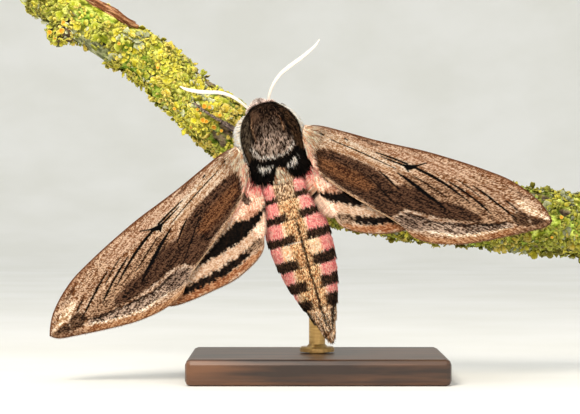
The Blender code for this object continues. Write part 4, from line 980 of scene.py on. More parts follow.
def unwrapOf(places, low, high):  # round the body and along it
    x, y, z = places.T
    around = np.arctan2(z + 0.4, x - np.where(y < -7.6, abdomenMiddle(y), 0.0)) / (2 * math.pi) + 0.5
    return np.column_stack([np.clip(around, 0, 0.996), np.clip((y - low) / (high - low), 0, 0.996)])


coatDepth = np.array([piece["coat"] for piece, _ in regions])
shrunkSkin = skinPoints - skinSurface["normals"] * coatDepth[regionOf(skinPoints)][:, None]
skinPaint = bodyPaint(shrunkSkin, 300) * skin["shade"]
addPiece("moth_skin", toWorld(shrunkSkin), skinFaces, bodyScales, skinPaint, None,
         ["thorax", "abdomen", "head", "palp_left", "palp_right"])
skinSurface = surfaceOf(shrunkSkin, skinFaces)
print("skin ready")


def plantBody(name, wanted, count, seed, settings, material, closeness):
    def density(places):
        return (regionOf(places) == wanted) * closeness(*places.T)

    piece, paint = regions[wanted]
    rng = np.random.default_rng(seed + 1)
    roots, normals, _ = scatter(skinSurface, count, seed, density)
    length, width, lift, lie, tipHighlightGain = settings(roots, normals, rng)
    length = length * rng.uniform(0.72, 1.25, count)
    along = unit(lie - normals * np.sum(lie * normals, axis=1, keepdims=True))
    rise = along * np.cos(lift)[:, None] + normals * np.sin(lift)[:, None]
    seen = roots + rise * (length * 0.6)[:, None]
    colour = paint(seen, seed + 2) * rng.uniform(0.92, 1.08, (count, 1))
    # painted shade at each tuft's root, and its tip lightened by the last setting, a painted highlight
    points, faces, shade, uv = tuftMesh(
        roots, normals, lie, length, width * rng.uniform(0.8, 1.25, count), lift, colour, colour * tipHighlightGain,
        unwrapOf(roots, *piece["span"]), rootShade=0.8)
    addPiece(name, toWorld(points), faces, material, shade, uv)


# each coat gives length, width, lift, lie, and the gain of the painted highlight on the tips
def thoraxCoat(roots, normals, rng):
    x, y, z = roots.T
    count = len(x)
    lobes = ramp(-y, 3.8, 6.0) * ramp(np.abs(x), 2.4, 3.6)
    rear = ramp(-y, 5.6, 7.4)
    front = ramp(y, 3.4, 5.2)
    tuftEnd = ramp(2.4 - np.abs(x), 0, 0.5) * ramp(-y, 8.2, 9.0)
    length = (0.9 - 0.2 * front + 0.7 * rear + 1.1 * lobes) * (1 - 0.6 * tuftEnd)
    lift = np.radians(14 + 9 * rng.random(count) - 5 * rear + 14 * lobes)
    outward = 0.16 * ramp(np.abs(x), 1, 4) + 0.8 * lobes * ramp(np.abs(x), 3, 4.2) * ramp(z, 1.2, 2.2)
    lie = np.column_stack([outward * np.sign(x) + rng.normal(0, 0.18, count),
                           -np.ones(count), rng.normal(0, 0.2, count)])
    return length, 0.115 + 0.03 * rear, lift, lie, 1.3


def breastCoat(roots, normals, rng):
    count = len(roots)
    lie = np.column_stack([rng.normal(0, 0.2, count), -np.ones(count), rng.normal(-0.15, 0.2, count)])
    return np.full(count, 1.5), np.full(count, 0.16), np.radians(18 + 14 * rng.random(count)), lie, 1.15


def collarCoat(roots, normals, rng):  # the white fringe that stands out from under the flaps
    x, y, z = roots.T
    count = len(x)
    left = x < 0
    normals[:] = unit(normals * 0.3 + np.array([0, 0, 1.0]))  # these hairs show their broad side to the back
    lie = np.column_stack([np.where(left, -1.0, 0.8), np.clip(0.16 * y - 0.5, -1, 0.2), 0 * x])
    lie = lie + rng.normal(0, 0.18, (count, 3))
    taper = 1 - 0.45 * ramp(y, 1.6, 4.4)
    lift = np.radians(4 + 14 * rng.random(count))
    return np.where(left, 1.35, 0.62) * taper, np.full(count, 0.15), lift, lie, 1.1


def abdomenCoat(roots, normals, rng):
    x, y, z = roots.T
    count = len(x)
    flank = ramp(np.abs(x - abdomenMiddle(y)) / abdomenHalf(y), 0.82, 0.98)
    tip = ramp(-y, 38.0, 40.0)
    front = ramp(y, -12.5, -9.5)
    length = 0.6 + 0.35 * flank + 1.0 * tip + 0.5 * front
    lift = np.radians(9 + 7 * rng.random(count) + 8 * flank - 6 * tip)
    lie = np.column_stack([0.1 * np.sign(x) * flank + rng.normal(0, 0.12, count),
                           -np.ones(count), rng.normal(0, 0.12, count)])
    return length, np.full(count, 0.15), lift, lie, 1.15


def faceCoat(roots, normals, rng):
    x, y, z = (roots - np.array(head["at"])).T
    count = len(x)
    crest = ramp(z, -1.2, 0.6) * ramp(y, 0.2, 1.4)
    back = np.column_stack([0.4 * np.sign(x), -np.ones(count), 0.5 * np.ones(count)])
    forward = np.column_stack([0.1 * x, 1.0 + 0 * x, 0.75 + 0 * x])
    lie = back * (1 - crest[:, None]) + forward * crest[:, None] + rng.normal(0, 0.16, (count, 3))
    lift = np.radians(16 + 26 * crest + 8 * rng.random(count))
    return 0.42 + 0.62 * crest, 0.085 + 0.02 * crest, lift, lie, 1.2


plantBody("thorax_coat", 0, 19600, 400, thoraxCoat, thoraxFur,
          lambda x, y, z: ramp(z, -0.4, 0.4) * (1 + 0.7 * ramp(-y, 6, 7.5)))
plantBody("breast_coat", 0, 6500, 405, breastCoat, thoraxFur,
          lambda x, y, z: ramp(-z, -0.5, 0.3))
plantBody("collar_fringe", 0, 3200, 407, collarCoat, fringeHair,
          lambda x, y, z: ramp(z, 0.2, 0.8)
          * ramp(2.6 - np.where(x < 0, 1.3, 0) * ramp(y, 1.5, 3.8) - z, 0, 0.5)
          * ramp(y, -4.8, -3.4) * ramp(-y, -4.4, -3.4) * ramp(np.abs(x), 3.0, 4.2))
plantBody("abdomen_coat", 1, 19600, 410, abdomenCoat, bodyScales,
          lambda x, y, z: (1 + 0.7 * ramp(z, -1, 1)) * (1 - 0.95 * ramp(y, -10.4, -10.1) * ramp(z, 0, 1)))
plantBody("face_coat", 2, 7500, 420, faceCoat, thoraxFur,
          lambda x, y, z: 1 + 1.2 * ramp(z, -3.5, -2.5) * ramp(y, 4, 5))
print("coat ready")

for side, sign in (("left", -1), ("right", 1)):
    eyeSize = (head["eyeRadius"],) * 3
    points, faces = loft(ellipsoidRings(onHead(head["eyeAt"], sign), eyeSize, headTurn, *skin["eyeGrid"]))
    addPiece(f"compound_eye_{side}", toWorld(points), faces, eyeShell, None, None, [f"eye_{side}"])

antenna = {  # x, y, z and radius along each, in the moth's frame
    "left": [(-1.9, 4.1, -0.9, 0.26), (-3.0, 5.5, 0.0, 0.26), (-4.15, 7.05, 0.9, 0.28),
             (-5.7, 8.6, 1.6, 0.32), (-7.5, 9.6, 2.2, 0.36), (-9.3, 10.1, 2.5, 0.38),
             (-11.1, 10.65, 2.6, 0.38), (-12.85, 11.4, 2.5, 0.33), (-13.75, 11.95, 2.3, 0.25),
             (-14.5, 12.6, 2.0, 0.1)],
    "right": [(0.8, 4.6, -0.7, 0.26), (1.15, 5.95, 0.4, 0.26), (1.65, 7.2, 1.1, 0.28),
              (2.9, 8.85, 1.9, 0.32), (4.6, 10.25, 2.5, 0.36), (6.45, 11.15, 2.8, 0.38),
              (8.8, 12.1, 2.9, 0.38), (10.6, 12.95, 2.8, 0.33), (12.2, 13.85, 2.5, 0.25),
              (13.3, 14.85, 2.1, 0.1)],
    "ring": 0.27, "flare": 0.09, "perRing": 4,  # mm a ring, how far its outer end stands out, rows a ring
}
for side in ("left", "right"):
    rough = through(antenna[side], 200)
    lengthMm = np.linalg.norm(np.diff(rough[:, :3], axis=0), axis=1).sum()
    rows = int(lengthMm / antenna["ring"]) * antenna["perRing"] + 1
    line = through(antenna[side], rows)
    phase = np.arange(rows) % antenna["perRing"] / antenna["perRing"]
    line[:, 3] *= (0.93 + antenna["flare"] * phase) * np.where(np.arange(rows) > rows - 4, 0.7, 1)
    rings = tubeRings(line, 18, 0.82)
    points, faces = loft(rings)
    upward = (rings - line[:, None, :3])[..., 2] / line[:, None, 3]
    above = ramp(upward + 0.1 * np.random.default_rng(31).random(upward.shape), -0.3, 0.15)
    paint = mixed(mixed("7A5237", "F6ECE2", above), "C2AE9E", 0.5 * (phase == 0)[:, None] * above)
    addPiece(f"ringed_antenna_{side}", toWorld(points), faces, antennaScales, paint.reshape(-1, 3),
             None, [f"antenna_{side}"])
print("eyes and antennae ready")

branch = {
    # x, z and radius over the tips of the lichen
    "line": [(-56.8, 78.3, 4.8), (-52.2, 74.8, 4.9), (-46.8, 70.7, 5.0), (-40.2, 66.3, 5.0),
             (-34.4, 63.1, 5.3), (-28.7, 58.8, 5.8), (-23.3, 53.8, 5.8), (-17.7, 49.0, 6.0),
             (-11.0, 43.7, 5.7), (-3.4, 38.8, 5.8), (4.2, 35.5, 6.1), (15.6, 33.5, 6.4), (25.1, 32.7, 6.8),
             (35.3, 31.9, 7.0), (44.5, 30.8, 6.7), (52.1, 29.8, 6.6)],
    "crust": 0.85,  # how far the bark lies under those tips
    "rows": 330, "sides": 96, "capRings": 14,
    # x, y, z and radius along the loose strip of bark
    "peeled": [(-46.5, -0.9, 74.6, 0.9), (-43.3, -1.3, 73.1, 1.25), (-39.2, -1.2, 71.1, 1.2),
               (-35.0, -0.7, 68.7, 0.7)],
    "fibres": 46,
    "middle": -2.35, "lobesTo": 54.3, "mossTo": 54.0,  # growth stops short of the cut ends
    "meanRadius": 5.5,  # for patterns that run round it
    "knotAt": (-49.9, -1.2, 67.6), "knotHalf": (2.7, 2.5, 1.9),
}
branchLine = through(branch["line"], 400)
branchAhead = unit(np.gradient(branchLine[:, :2], axis=0))


def onBranch(x, angleDeg, lift):  # a place round the branch: angle 0 is its front, 90 its upper side
    z, radius = (np.interp(x, branchLine[:, 0], branchLine[:, k]) for k in (1, 2))
    ax, az = (np.interp(x, branchLine[:, 0], branchAhead[:, k]) for k in (0, 1))
    turn = np.radians(angleDeg)
    out = np.stack([-az * np.sin(turn), -np.cos(turn) + 0 * x, ax * np.sin(turn)], axis=-1)
    centre = np.stack([x + 0 * turn, 0 * turn + 0 * x, z + 0 * turn], axis=-1)
    return centre + out * (radius + lift)[..., None], out


def branchPlace(places):  # the reverse: x along the branch, and the angle round it
    k = np.abs(branchLine[None, :, 0] - places[:, :1]).argmin(axis=1)
    for _ in range(3):  # step to the station squarely under each place
        gap = places[:, [0, 2]] - branchLine[k, :2]
        along = np.sum(gap * branchAhead[k], axis=1)
        k = np.clip(k + np.round(along / 0.36).astype(int), 0, len(branchLine) - 1)
    gap = places[:, [0, 2]] - branchLine[k, :2]
    over = gap[:, 1] * branchAhead[k, 0] - gap[:, 0] * branchAhead[k, 1]
    return branchLine[k, 0], np.degrees(np.arctan2(over, -places[:, 1]))


def branchUnwrap(places):  # along the branch and round it, for the bake
    x, angle = branchPlace(places)
    return np.column_stack([(x + 57) / 110, angle % 360 / 360]) * 0.98


leg = {
    # hip and knee in the moth's frame, then the foot's joints as places round the branch
    "places": {
        "foreleg_left": ((-1.7, 2.8, -4.7), (-4.7, 0.3, -5.9), [(-18.6, 3), (-21.0, -1.5), (-23.4, -3.5)]),
        "foreleg_right": ((1.7, 3.0, -4.6), (3.6, 4.8, -6.6), [(-6.2, 60), (-7.6, 74), (-9.4, 84)]),
        "midleg_left": ((-1.9, -1.0, -5.4), (-5.6, -2.8, -6.6), [(-15.2, -36), (-14.4, -52), (-13.0, -66)]),
        "midleg_right": ((1.9, -1.0, -5.4), (6.4, -0.6, -6.9), [(0.2, 36), (2.2, 50), (4.4, 58)]),
        "hindleg_left": ((-1.8, -4.2, -5.2), (-4.6, -8.2, -7.4), [(-9.8, -44), (-8.6, -58), (-7.0, -70)]),
        "hindleg_right": ((1.8, -4.2, -5.2), (6.0, -6.6, -5.4), [(4.4, -4), (7.2, -16), (9.8, -26)]),
    },
    "hip": 0.9, "knee": 0.74, "shin": 0.56, "toe": 0.26, "footLift": 0.75, "claw": 0.8, "joints": 5,
    "tufts": (420, 420, 70, 60, 50, 40, 40), "tuftLength": (0.8, 0.72, 0.26, 0.22, 0.2, 0.2, 0.2),
    "spine": 0.34,
    "shaggy": {"foreleg_left": 1.0},  # the other legs wear their tufts shorter
    "tones": ("2A201B", "5C4B45", "A08C80"),
}


def legPaint(places, seed):
    return toned(speckleOf(places, seed, 1.2), *leg["tones"])


def limb(start, end, wide, narrow, waist=0.78):  # one jointed piece, pinched at both ends
    share = np.linspace(0, 1, 12)
    swell = np.sin(math.pi * np.clip(share, 0.04, 0.96)) ** 0.45
    radius = (wide + (narrow - wide) * share) * (waist + (1 - waist) * swell)
    line = start + (end - start) * share[:, None]
    return np.column_stack([line, radius * np.where((share == 0) | (share == 1), 0.6, 1)])


def footPlace(step, lift):  # a place round the branch, in the moth's frame
    x, angle = step
    return toMoth(onBranch(np.array(float(x)), float(angle), np.array(lift))[0])


def makeLeg(name, hip, knee, steps, seed):
    foot = [footPlace(step, leg["footLift"]) for step in steps]
    hip, knee, ankle = np.array(hip), np.array(knee), foot[0]
    toes = through(foot, leg["joints"] + 1)
    lines = [limb(hip, knee, leg["hip"], leg["knee"]),
             limb(knee, ankle, leg["knee"] * 0.95, leg["shin"] * 0.7)]
    for k in range(leg["joints"]):
        size = leg["toe"] * (1.2 - 0.1 * k)
        lines.append(limb(toes[k], toes[k + 1], size * 0.82, size * 1.1, 0.72))
    parts, roots, lies, lengths = [], [], [], []
    rng = np.random.default_rng(seed)
    for k, line in enumerate(lines):
        points, faces = loft(tubeRings(line, 14, 0.92, up=(0.1, 0.2, 1)))
        parts.append((points, faces, legPaint(points, seed + 10)))
        where, out, _ = scatter(surfaceOf(points, faces), leg["tufts"][k], seed + 20 + k)
        out = out * (1 if np.sum(out * (where - where.mean(axis=0))) > 0 else -1)
        ahead = unit(line[-1, :3] - line[0, :3])
        roots.append(np.column_stack([where, out]))
        lengths.append(np.full(len(where), leg["tuftLength"][k] * leg["shaggy"].get(name, 0.6)))
        if k > 0:  # stiff spines along the shin and at the end of each joint of the foot
            share = rng.random(10) if k == 1 else np.full(4, 0.92)
            base = line[0, :3] + (line[-1, :3] - line[0, :3]) * share[:, None]
            away = unit(np.cross(rng.normal(0, 1, base.shape), ahead))
            roots.append(np.column_stack([base + away * line[6, 3] * 0.8, away]))
            lengths.append(np.full(len(share), leg["spine"] * (2.2 if k == 1 else 0.8)))
        added = sum(len(some) for some in roots) - sum(len(some) for some in lies)
        lies.append(np.broadcast_to(ahead, (added, 3)))
    tip, heading = toes[-1], unit(toes[-1] - toes[-2])
    inward = unit(footPlace(steps[-1], 0.0) - tip)
    spread = unit(np.cross(heading, inward))
    bend = np.linspace(0, 1, 8)[:, None]
    for sign in (-1, 1):  # two hooked claws
        path = (tip - heading * 0.15 + heading * leg["claw"] * np.sin(bend * 1.9) * 0.75
                + inward * 0.55 * bend ** 2 + spread * sign * (0.12 + 0.34 * bend))
        points, faces = loft(tubeRings(np.column_stack([path, 0.13 * (1 - 0.82 * bend)]), 8))
        parts.append((points, faces, linear("1C120D")))
    points, faces, paint = joined(parts)
    addPiece(f"jointed_{name}", toWorld(points), faces, legScales, paint, None, [name])
    roots, lies, lengths = np.vstack(roots), np.vstack(lies), np.concatenate(lengths)
    where, out, amount = roots[:, :3], unit(roots[:, 3:]), len(roots)
    colour = legPaint(where, seed + 30)
    unwrap = np.column_stack([rng.random(amount), np.linspace(0, 0.99, amount)])
    # painted shade at each tuft's root and a painted highlight at its tip
    points, faces, paint, uv = tuftMesh(
        where, out, lies + rng.normal(0, 0.1, lies.shape), lengths * rng.uniform(0.7, 1.2, amount), 0.09,
        np.radians(rng.uniform(12, 26, amount)), colour, colour * 1.3, unwrap, flat=0.35, sunk=0.05)
    addPiece(f"{name}_scales", toWorld(points), faces, legScales, paint, uv)


for number, (name, (hip, knee, steps)) in enumerate(leg["places"].items()):
    makeLeg(name, hip, knee, steps, 500 + 40 * number)
print("legs ready")

lichen = {
    # each kind's shaded, middle and edge tones, and how common it is on the left and on the right
    "kinds": [("8E8612", "D6CA32", "F2EA7C", 0.44, 0.26), ("A08C1C", "E2C646", "F8EC98", 0.2, 0.12),
              ("6C7812", "ACB02C", "E0E07C", 0.2, 0.3), ("7C845A", "B4B888", "E4E6C0", 0.07, 0.14),
              ("5A5410", "8E8A2A", "C8C068", 0.09, 0.18)],
    "creviceShadeTone": "4A4614", "moss": ("3E5A10", "789A2A", "B4CC58"), "bark": ("2A2018", "5E4E3C", "98886C"),
    "smooth": ("5C6044", "8C9068", "B8B890"), "fibre": ("4A2A18", "8E5A38", "CDA078"),
    "wood": ("8E6C44", "C2A070", "E0C69A"), "disc": "DA922A", "rim": "DCC65A",
    # name, count, points along and across, length in mm, lift in degrees, seed
    "lobes": [("lichen_small_first", 5200, (3, 3), (0.42, 1.05), (14, 66), 700),
              ("lichen_small_second", 5200, (3, 3), (0.42, 1.05), (14, 66), 710),
              ("lichen_broad", 900, (4, 5), (1.3, 2.2), (6, 30), 720)],
    "centres": 520, "mixing": 0.4, "mossTufts": 3000,
    # x, angle round the branch, and size
    "mossAt": [(-34.7, -50, 5.0), (-45.5, 12, 3.0), (-30, -70, 4.0), (-14, -40, 3.0), (43, 30, 7.0),
               (50, 10, 4.0), (30, -75, 5.0), (12, -60, 6.0), (-20, 150, 6.0), (20, 160, 8.0)],
    # x, z and radius of each fruiting disc, as the camera sees them
    "discsAt": [(-49.6, 67.7, 0.62), (-51.9, 67.5, 0.5), (-49.2, 69.3, 0.5), (-50.9, 66.2, 0.36),
                (-21.8, 53.0, 0.56), (-20.8, 52.8, 0.4), (-22.1, 50.4, 0.56), (-21.4, 50.1, 0.44),
                (-20.0, 49.1, 0.56), (-24.5, 49.1, 0.36), (-19.0, 51.4, 0.4), (-23.1, 52.4, 0.34),
                (-22.5, 51.6, 0.3), (-18.6, 48.4, 0.34), (-27.6, 52.6, 0.36), (-31.0, 60.6, 0.34),
                (-38.4, 65.2, 0.36), (40.5, 34.6, 0.36), (47.0, 31.6, 0.4), (45.2, 27.8, 0.34)],
}


def branchFields(x, angle):  # how much moss, bare bark and smooth bark a place has
    around = np.radians(angle)
    up, front = np.sin(around), np.cos(around)
    cx, cy = front * branch["meanRadius"], up * branch["meanRadius"]
    moss = 0.8 * ramp(grain(61, x / 6, cx / 3.5, cy / 3.5), 0.66, 0.8)
    for mx, mossAngle, size in lichen["mossAt"]:
        gap = (angle - mossAngle + 180) % 360 - 180
        far = ((x - mx) / size) ** 2 + (np.radians(gap) * 5.6 / size) ** 2
        moss = np.maximum(moss, 1.1 * np.exp(-far * 1.2)
                          * ramp(grain(60, x / 1.6, cx / 1.6, cy / 1.6), 0.2, 0.5))
    bare = ramp(grain(62, x / 3.4, cx / 2.2, cy / 2.2), 0.72, 0.8)
    bare = np.maximum(bare, np.exp(-((x + 25) / 7) ** 2) * ramp(up, 0.66, 0.86)
                      * ramp(grain(69, x / 1.6, cx, cy), 0.3, 0.5))
    smooth = np.exp(-((x + 42) / 3.6) ** 4) * ramp(-up, 0.34, 0.6)
    return np.clip(moss, 0, 1), bare, smooth


def makeBranch():
    caps = branch["capRings"]
    inward = np.linspace(0.02, 1, caps, endpoint=False)
    share = np.concatenate([inward, np.ones(branch["rows"]), inward[::-1]])[:, None]
    along = np.concatenate([np.full(caps, branchLine[0, 0]),
                            np.linspace(branchLine[0, 0], branchLine[-1, 0], branch["rows"]),
                            np.full(caps, branchLine[-1, 0])])
    x, angle = np.meshgrid(along, np.linspace(0, 360, branch["sides"], endpoint=False), indexing="ij")
    around = np.radians(angle)
    cx, cy = np.cos(around) * branch["meanRadius"], np.sin(around) * branch["meanRadius"]
    moss, bare, smooth = branchFields(x, angle)
    lumps = grain(64, x / 2.6, cx / 2.6, cy / 2.6) - 0.5
    crisp = grain(65, x / 0.8, cx / 0.8, cy / 0.8) - 0.5
    fissure = np.abs(grain(67, x / 5.0, cx / 0.9, cy / 0.9) - 0.5)
    lift = -branch["crust"] + (0.9 * lumps + 0.45 * crisp) * (1 - smooth)
    lift = lift - 0.35 * bare - 0.5 * bare * ramp(0.12 - fissure, 0, 0.1)
    radius = np.interp(x, branchLine[:, 0], branchLine[:, 2])
    places, _ = onBranch(x, angle, (radius + lift) * share - radius)
    tone = 0.5 + 1.6 * crisp + 0.7 * (np.random.default_rng(68).random(x.shape) - 0.5)
    # painted shade: the crust is darker in its hollows
    creviceShade = 0.75 * ramp(-lumps - crisp, -0.1, 0.3)
    colour = mixed(toned(tone, *lichen["kinds"][2][:3]), lichen["creviceShadeTone"], creviceShade)
    colour = mixed(colour, toned(tone, *lichen["moss"]), 0.9 * moss)
    # painted shade: the bark is darker down in its fissures
    barkTone = mixed(toned(tone, *lichen["bark"]), "150E0A", ramp(0.1 - fissure, -0.03, 0.08))
    colour = mixed(mixed(colour, barkTone, bare), toned(tone, *lichen["smooth"]), smooth)
    # the cut ends show the wood's rings inside a thin bark
    ringTone = 0.5 + 0.5 * np.sin((share * radius + 0.3 * lumps) * 9.0) + 0.4 * crisp
    colour = mixed(colour, toned(ringTone, *lichen["wood"]), ramp(0.9 - share, 0, 0.03) * np.ones_like(x))
    colour = mixed(colour, barkTone, ramp(share, 0.87, 0.9) * ramp(0.995 - share, 0, 0.01) * np.ones_like(x))
    bark = (*loft(places), colour.reshape(-1, 3))

    # a knot under the left end, grown over like the rest
    knot = ellipsoidRings(branch["knotAt"], branch["knotHalf"], Matrix.Identity(3), 26, 34)
    uneven = grain(81, *(knot / 1.1).transpose(2, 0, 1)) - 0.5
    knot += unit(knot - np.array(branch["knotAt"])) * (0.9 * uneven)[..., None]
    tone = grain(82, *(knot / 0.5).transpose(2, 0, 1))
    parts = [bark, (*loft(knot), toned(tone, *lichen["bark"]).reshape(-1, 3))]

    # a strip of bark that peels off along the upper edge, in long fibres
    rng = np.random.default_rng(83)
    strip = through(branch["peeled"], 40)
    core = tubeRings(strip * np.array([1, 1, 1, 0.8]), 16, 0.8)
    core += 0.1 * (grain(84, core[..., 0] / 1.5, core[..., 1] / 0.3, core[..., 2] / 0.3) - 0.5)[..., None]
    fibreTone = grain(85, core[..., 0] / 2, core[..., 1] / 0.2, core[..., 2] / 0.2)
    parts.append((*loft(core), toned(fibreTone, *lichen["fibre"]).reshape(-1, 3)))
    for _ in range(branch["fibres"]):
        if rng.random() < 0.4:
            first, last = sorted(rng.uniform(0, 39, 2))
        else:
            first, last = rng.uniform(0, 6), rng.uniform(33, 39)
        if last - first < 8:
            continue
        at = np.linspace(first, last, 22)
        base = np.column_stack([np.interp(at, np.arange(40), column) for column in strip.T])
        turn = rng.uniform(0, 2 * math.pi) + 0.5 * np.sin(at / 9 + rng.uniform(0, 6))
        stray = ramp(np.abs(np.linspace(-1, 1, 22)), 0.75, 1.0) * rng.uniform(0, 0.5)
        reach = base[:, 3] * 0.86 + stray + 0.1 * np.sin(at / 2 + rng.uniform(0, 6))
        base[:, 1] += -np.cos(turn) * reach
        base[:, 2] += np.sin(turn) * reach
        base[:, 3] = rng.uniform(0.07, 0.17) * np.sin(np.linspace(0.15, math.pi - 0.15, 22))
        parts.append((*loft(tubeRings(base, 5)), toned(np.array(rng.random()), *lichen["fibre"])))
    points, faces, paint = joined(parts)
    addPiece("lichened_bark", points, faces, lichenCrust, paint, None, ["perch_branch"])
    points, faces, _ = joined([parts[0], parts[1]])
    return surfaceOf(points, faces)


def lobeShape(long, wide):  # one leaf-like lobe: along and across from its root, upper face then lower
    a, b = np.meshgrid(np.linspace(0, 1, long), np.linspace(-1, 1, wide), indexing="ij")
    half = np.interp(a, [0, 0.35, 0.7, 1], [0.3, 0.8, 1.0, 0.7])
    shape = np.stack([a - 0.25 * b ** 2 * a ** 2, b * half * 0.5], -1).reshape(-1, 2)
    index = np.arange(long * wide).reshape(long, wide)
    upper = np.stack([index[:-1, :-1], index[1:, :-1], index[1:, 1:], index[:-1, 1:]], -1).reshape(-1, 4)
    loop = np.array([*index[0, :], *index[1:, -1], *index[-1, -2::-1], *index[-2:0:-1, 0]])
    rim = np.column_stack([loop, np.roll(loop, -1), np.roll(loop, -1) + long * wide, loop + long * wide])
    return shape, np.vstack([upper, upper[:, ::-1] + long * wide, rim]), a.reshape(-1), b.reshape(-1)


def growLobes(name, ground, count, grid, sizes, liftDeg, seed):
    shape, lobeFaces, a, b = lobeShape(*grid)
    rng = np.random.default_rng(seed)

    def lobeShare(places):
        x, angle = branchPlace(places)
        moss, bare, smooth = branchFields(x, angle)
        peel = through(branch["peeled"], 16)[:, :3]
        strip = np.min([np.linalg.norm(places - at - (0, -1.2, 0), axis=1) for at in peel], axis=0)
        # none on the cut ends, and the camera's side a little closer than the back
        return ((np.abs(places[:, 0] - branch["middle"]) < branch["lobesTo"]) * (1 - 0.94 * bare)
                * (1 - 0.9 * smooth) * (1 - 0.6 * moss) * ramp(strip, 1.6, 2.2)
                * (1 + 0.5 * ramp(-places[:, 1], 0, 3)))

    roots, out, _ = scatter(ground, count, seed + 1, lobeShare)
    out = unit(out * (1 if np.mean(np.sum(out * (roots - np.column_stack(
        [roots[:, 0], 0 * roots[:, 0], np.interp(roots[:, 0], branchLine[:, 0], branchLine[:, 1])])),
        axis=1)) > 0 else -1))
    centres, _, _ = scatter(ground, lichen["centres"], 71)
    tree = kdtree.KDTree(len(centres))
    for k, place in enumerate(centres):
        tree.insert(place, k)
    tree.balance()
    mine = np.array([tree.find(place)[1] for place in roots])
    away = unit(roots - centres[mine] + rng.normal(0, 0.35, roots.shape))
    forward = unit(away - out * np.sum(away * out, axis=1, keepdims=True))
    side = np.cross(out, forward)
    length = rng.uniform(*sizes, count)
    width = length * rng.uniform(0.8, 1.3, count)
    lift = np.radians(rng.uniform(*liftDeg, count))[:, None]
    cup, wave = rng.uniform(-0.1, 0.5, (count, 1)), rng.uniform(0, 6.3, (count, 1))
    along, across = shape[None, :, 0] * length[:, None], shape[None, :, 1] * width[:, None]
    height = along * np.tan(lift) * (1 - 0.4 * a) + cup * b ** 2 * width[:, None] * 0.5 * a \
        + 0.13 * length[:, None] * np.sin(3.6 * b + wave) * a + 0.05
    top = roots[:, None] + forward[:, None] * along[..., None] + side[:, None] * across[..., None]
    top = top + out[:, None] * height[..., None]
    points = np.concatenate([top, top - out[:, None] * 0.12], axis=1)
    # kind and tone are shared by the lobes of one rosette
    rosette = np.random.default_rng(72)
    rightward = ramp(centres[:, 0], 5, 35)[:, None]
    common = np.array([kind[3:] for kind in lichen["kinds"]])
    odds = np.cumsum(common[:, 0] * (1 - rightward) + common[:, 1] * rightward, axis=1)
    drawn = np.where(rng.random(count) < lichen["mixing"], rng.random(count),
                     rosette.random(len(centres))[mine])
    kind = (drawn[:, None] > (odds / odds[:, -1:])[mine]).sum(axis=1)
    shade = rosette.uniform(0.74, 1.14, len(centres))[mine] * rng.uniform(0.82, 1.14, count)
    tones = np.array([[linear(tone) for tone in some[:3]] for some in lichen["kinds"]])[kind]
    rimShare = ramp(np.maximum(a, np.abs(b) * 0.85), 0.62, 1.0)
    face = mixed(tones[:, None, 0], tones[:, None, 1], 0.25 + 0.75 * a + 0 * height)
    paint = mixed(face, tones[:, None, 2], 0.62 * rimShare)
    shade = shade * (1 - 0.3 * ramp(roots[:, 0], 5, 35))
    inside = 0.5 + 0.5 * ramp(a, 0, 0.45)  # painted shade: lobes are darker where they leave the bark
    # painted shade: each lobe's lower face gets under half the brightness of its upper one
    paint = np.concatenate([paint * inside[:, None], paint * 0.45], axis=1) * shade[:, None, None]
    corners = 2 * len(a)
    faces = (np.arange(count)[:, None, None] * corners + lobeFaces).reshape(-1, 4).tolist()
    patch = np.column_stack([a, (b + 1) / 2]) * bakePatchSize
    uv = np.repeat(branchUnwrap(roots), corners, axis=0) + np.tile(patch, (count * 2, 1))
    addPiece(name, points.reshape(-1, 3), faces, lichenCrust, paint.reshape(-1, 3), uv)


def growMoss(ground):
    def mossy(places):
        moss, _, _ = branchFields(*branchPlace(places))
        return moss * (np.abs(places[:, 0] - branch["middle"]) < branch["mossTo"])

    count = lichen["mossTufts"]
    rng = np.random.default_rng(91)
    roots, out, _ = scatter(ground, count, 90, mossy)
    colour = toned(rng.random(count), *lichen["moss"])
    # painted shade at each tuft's root and a painted highlight at its tip
    points, faces, paint, uv = tuftMesh(
        roots, out, rng.normal(0, 1, roots.shape), rng.uniform(0.5, 1.0, count), 0.2,
        np.radians(rng.uniform(35, 75, count)), colour, colour * 1.3, branchUnwrap(roots),
        flat=0.5, sunk=0.1)
    addPiece("moss_tufts", points, faces, lichenCrust, paint, uv)


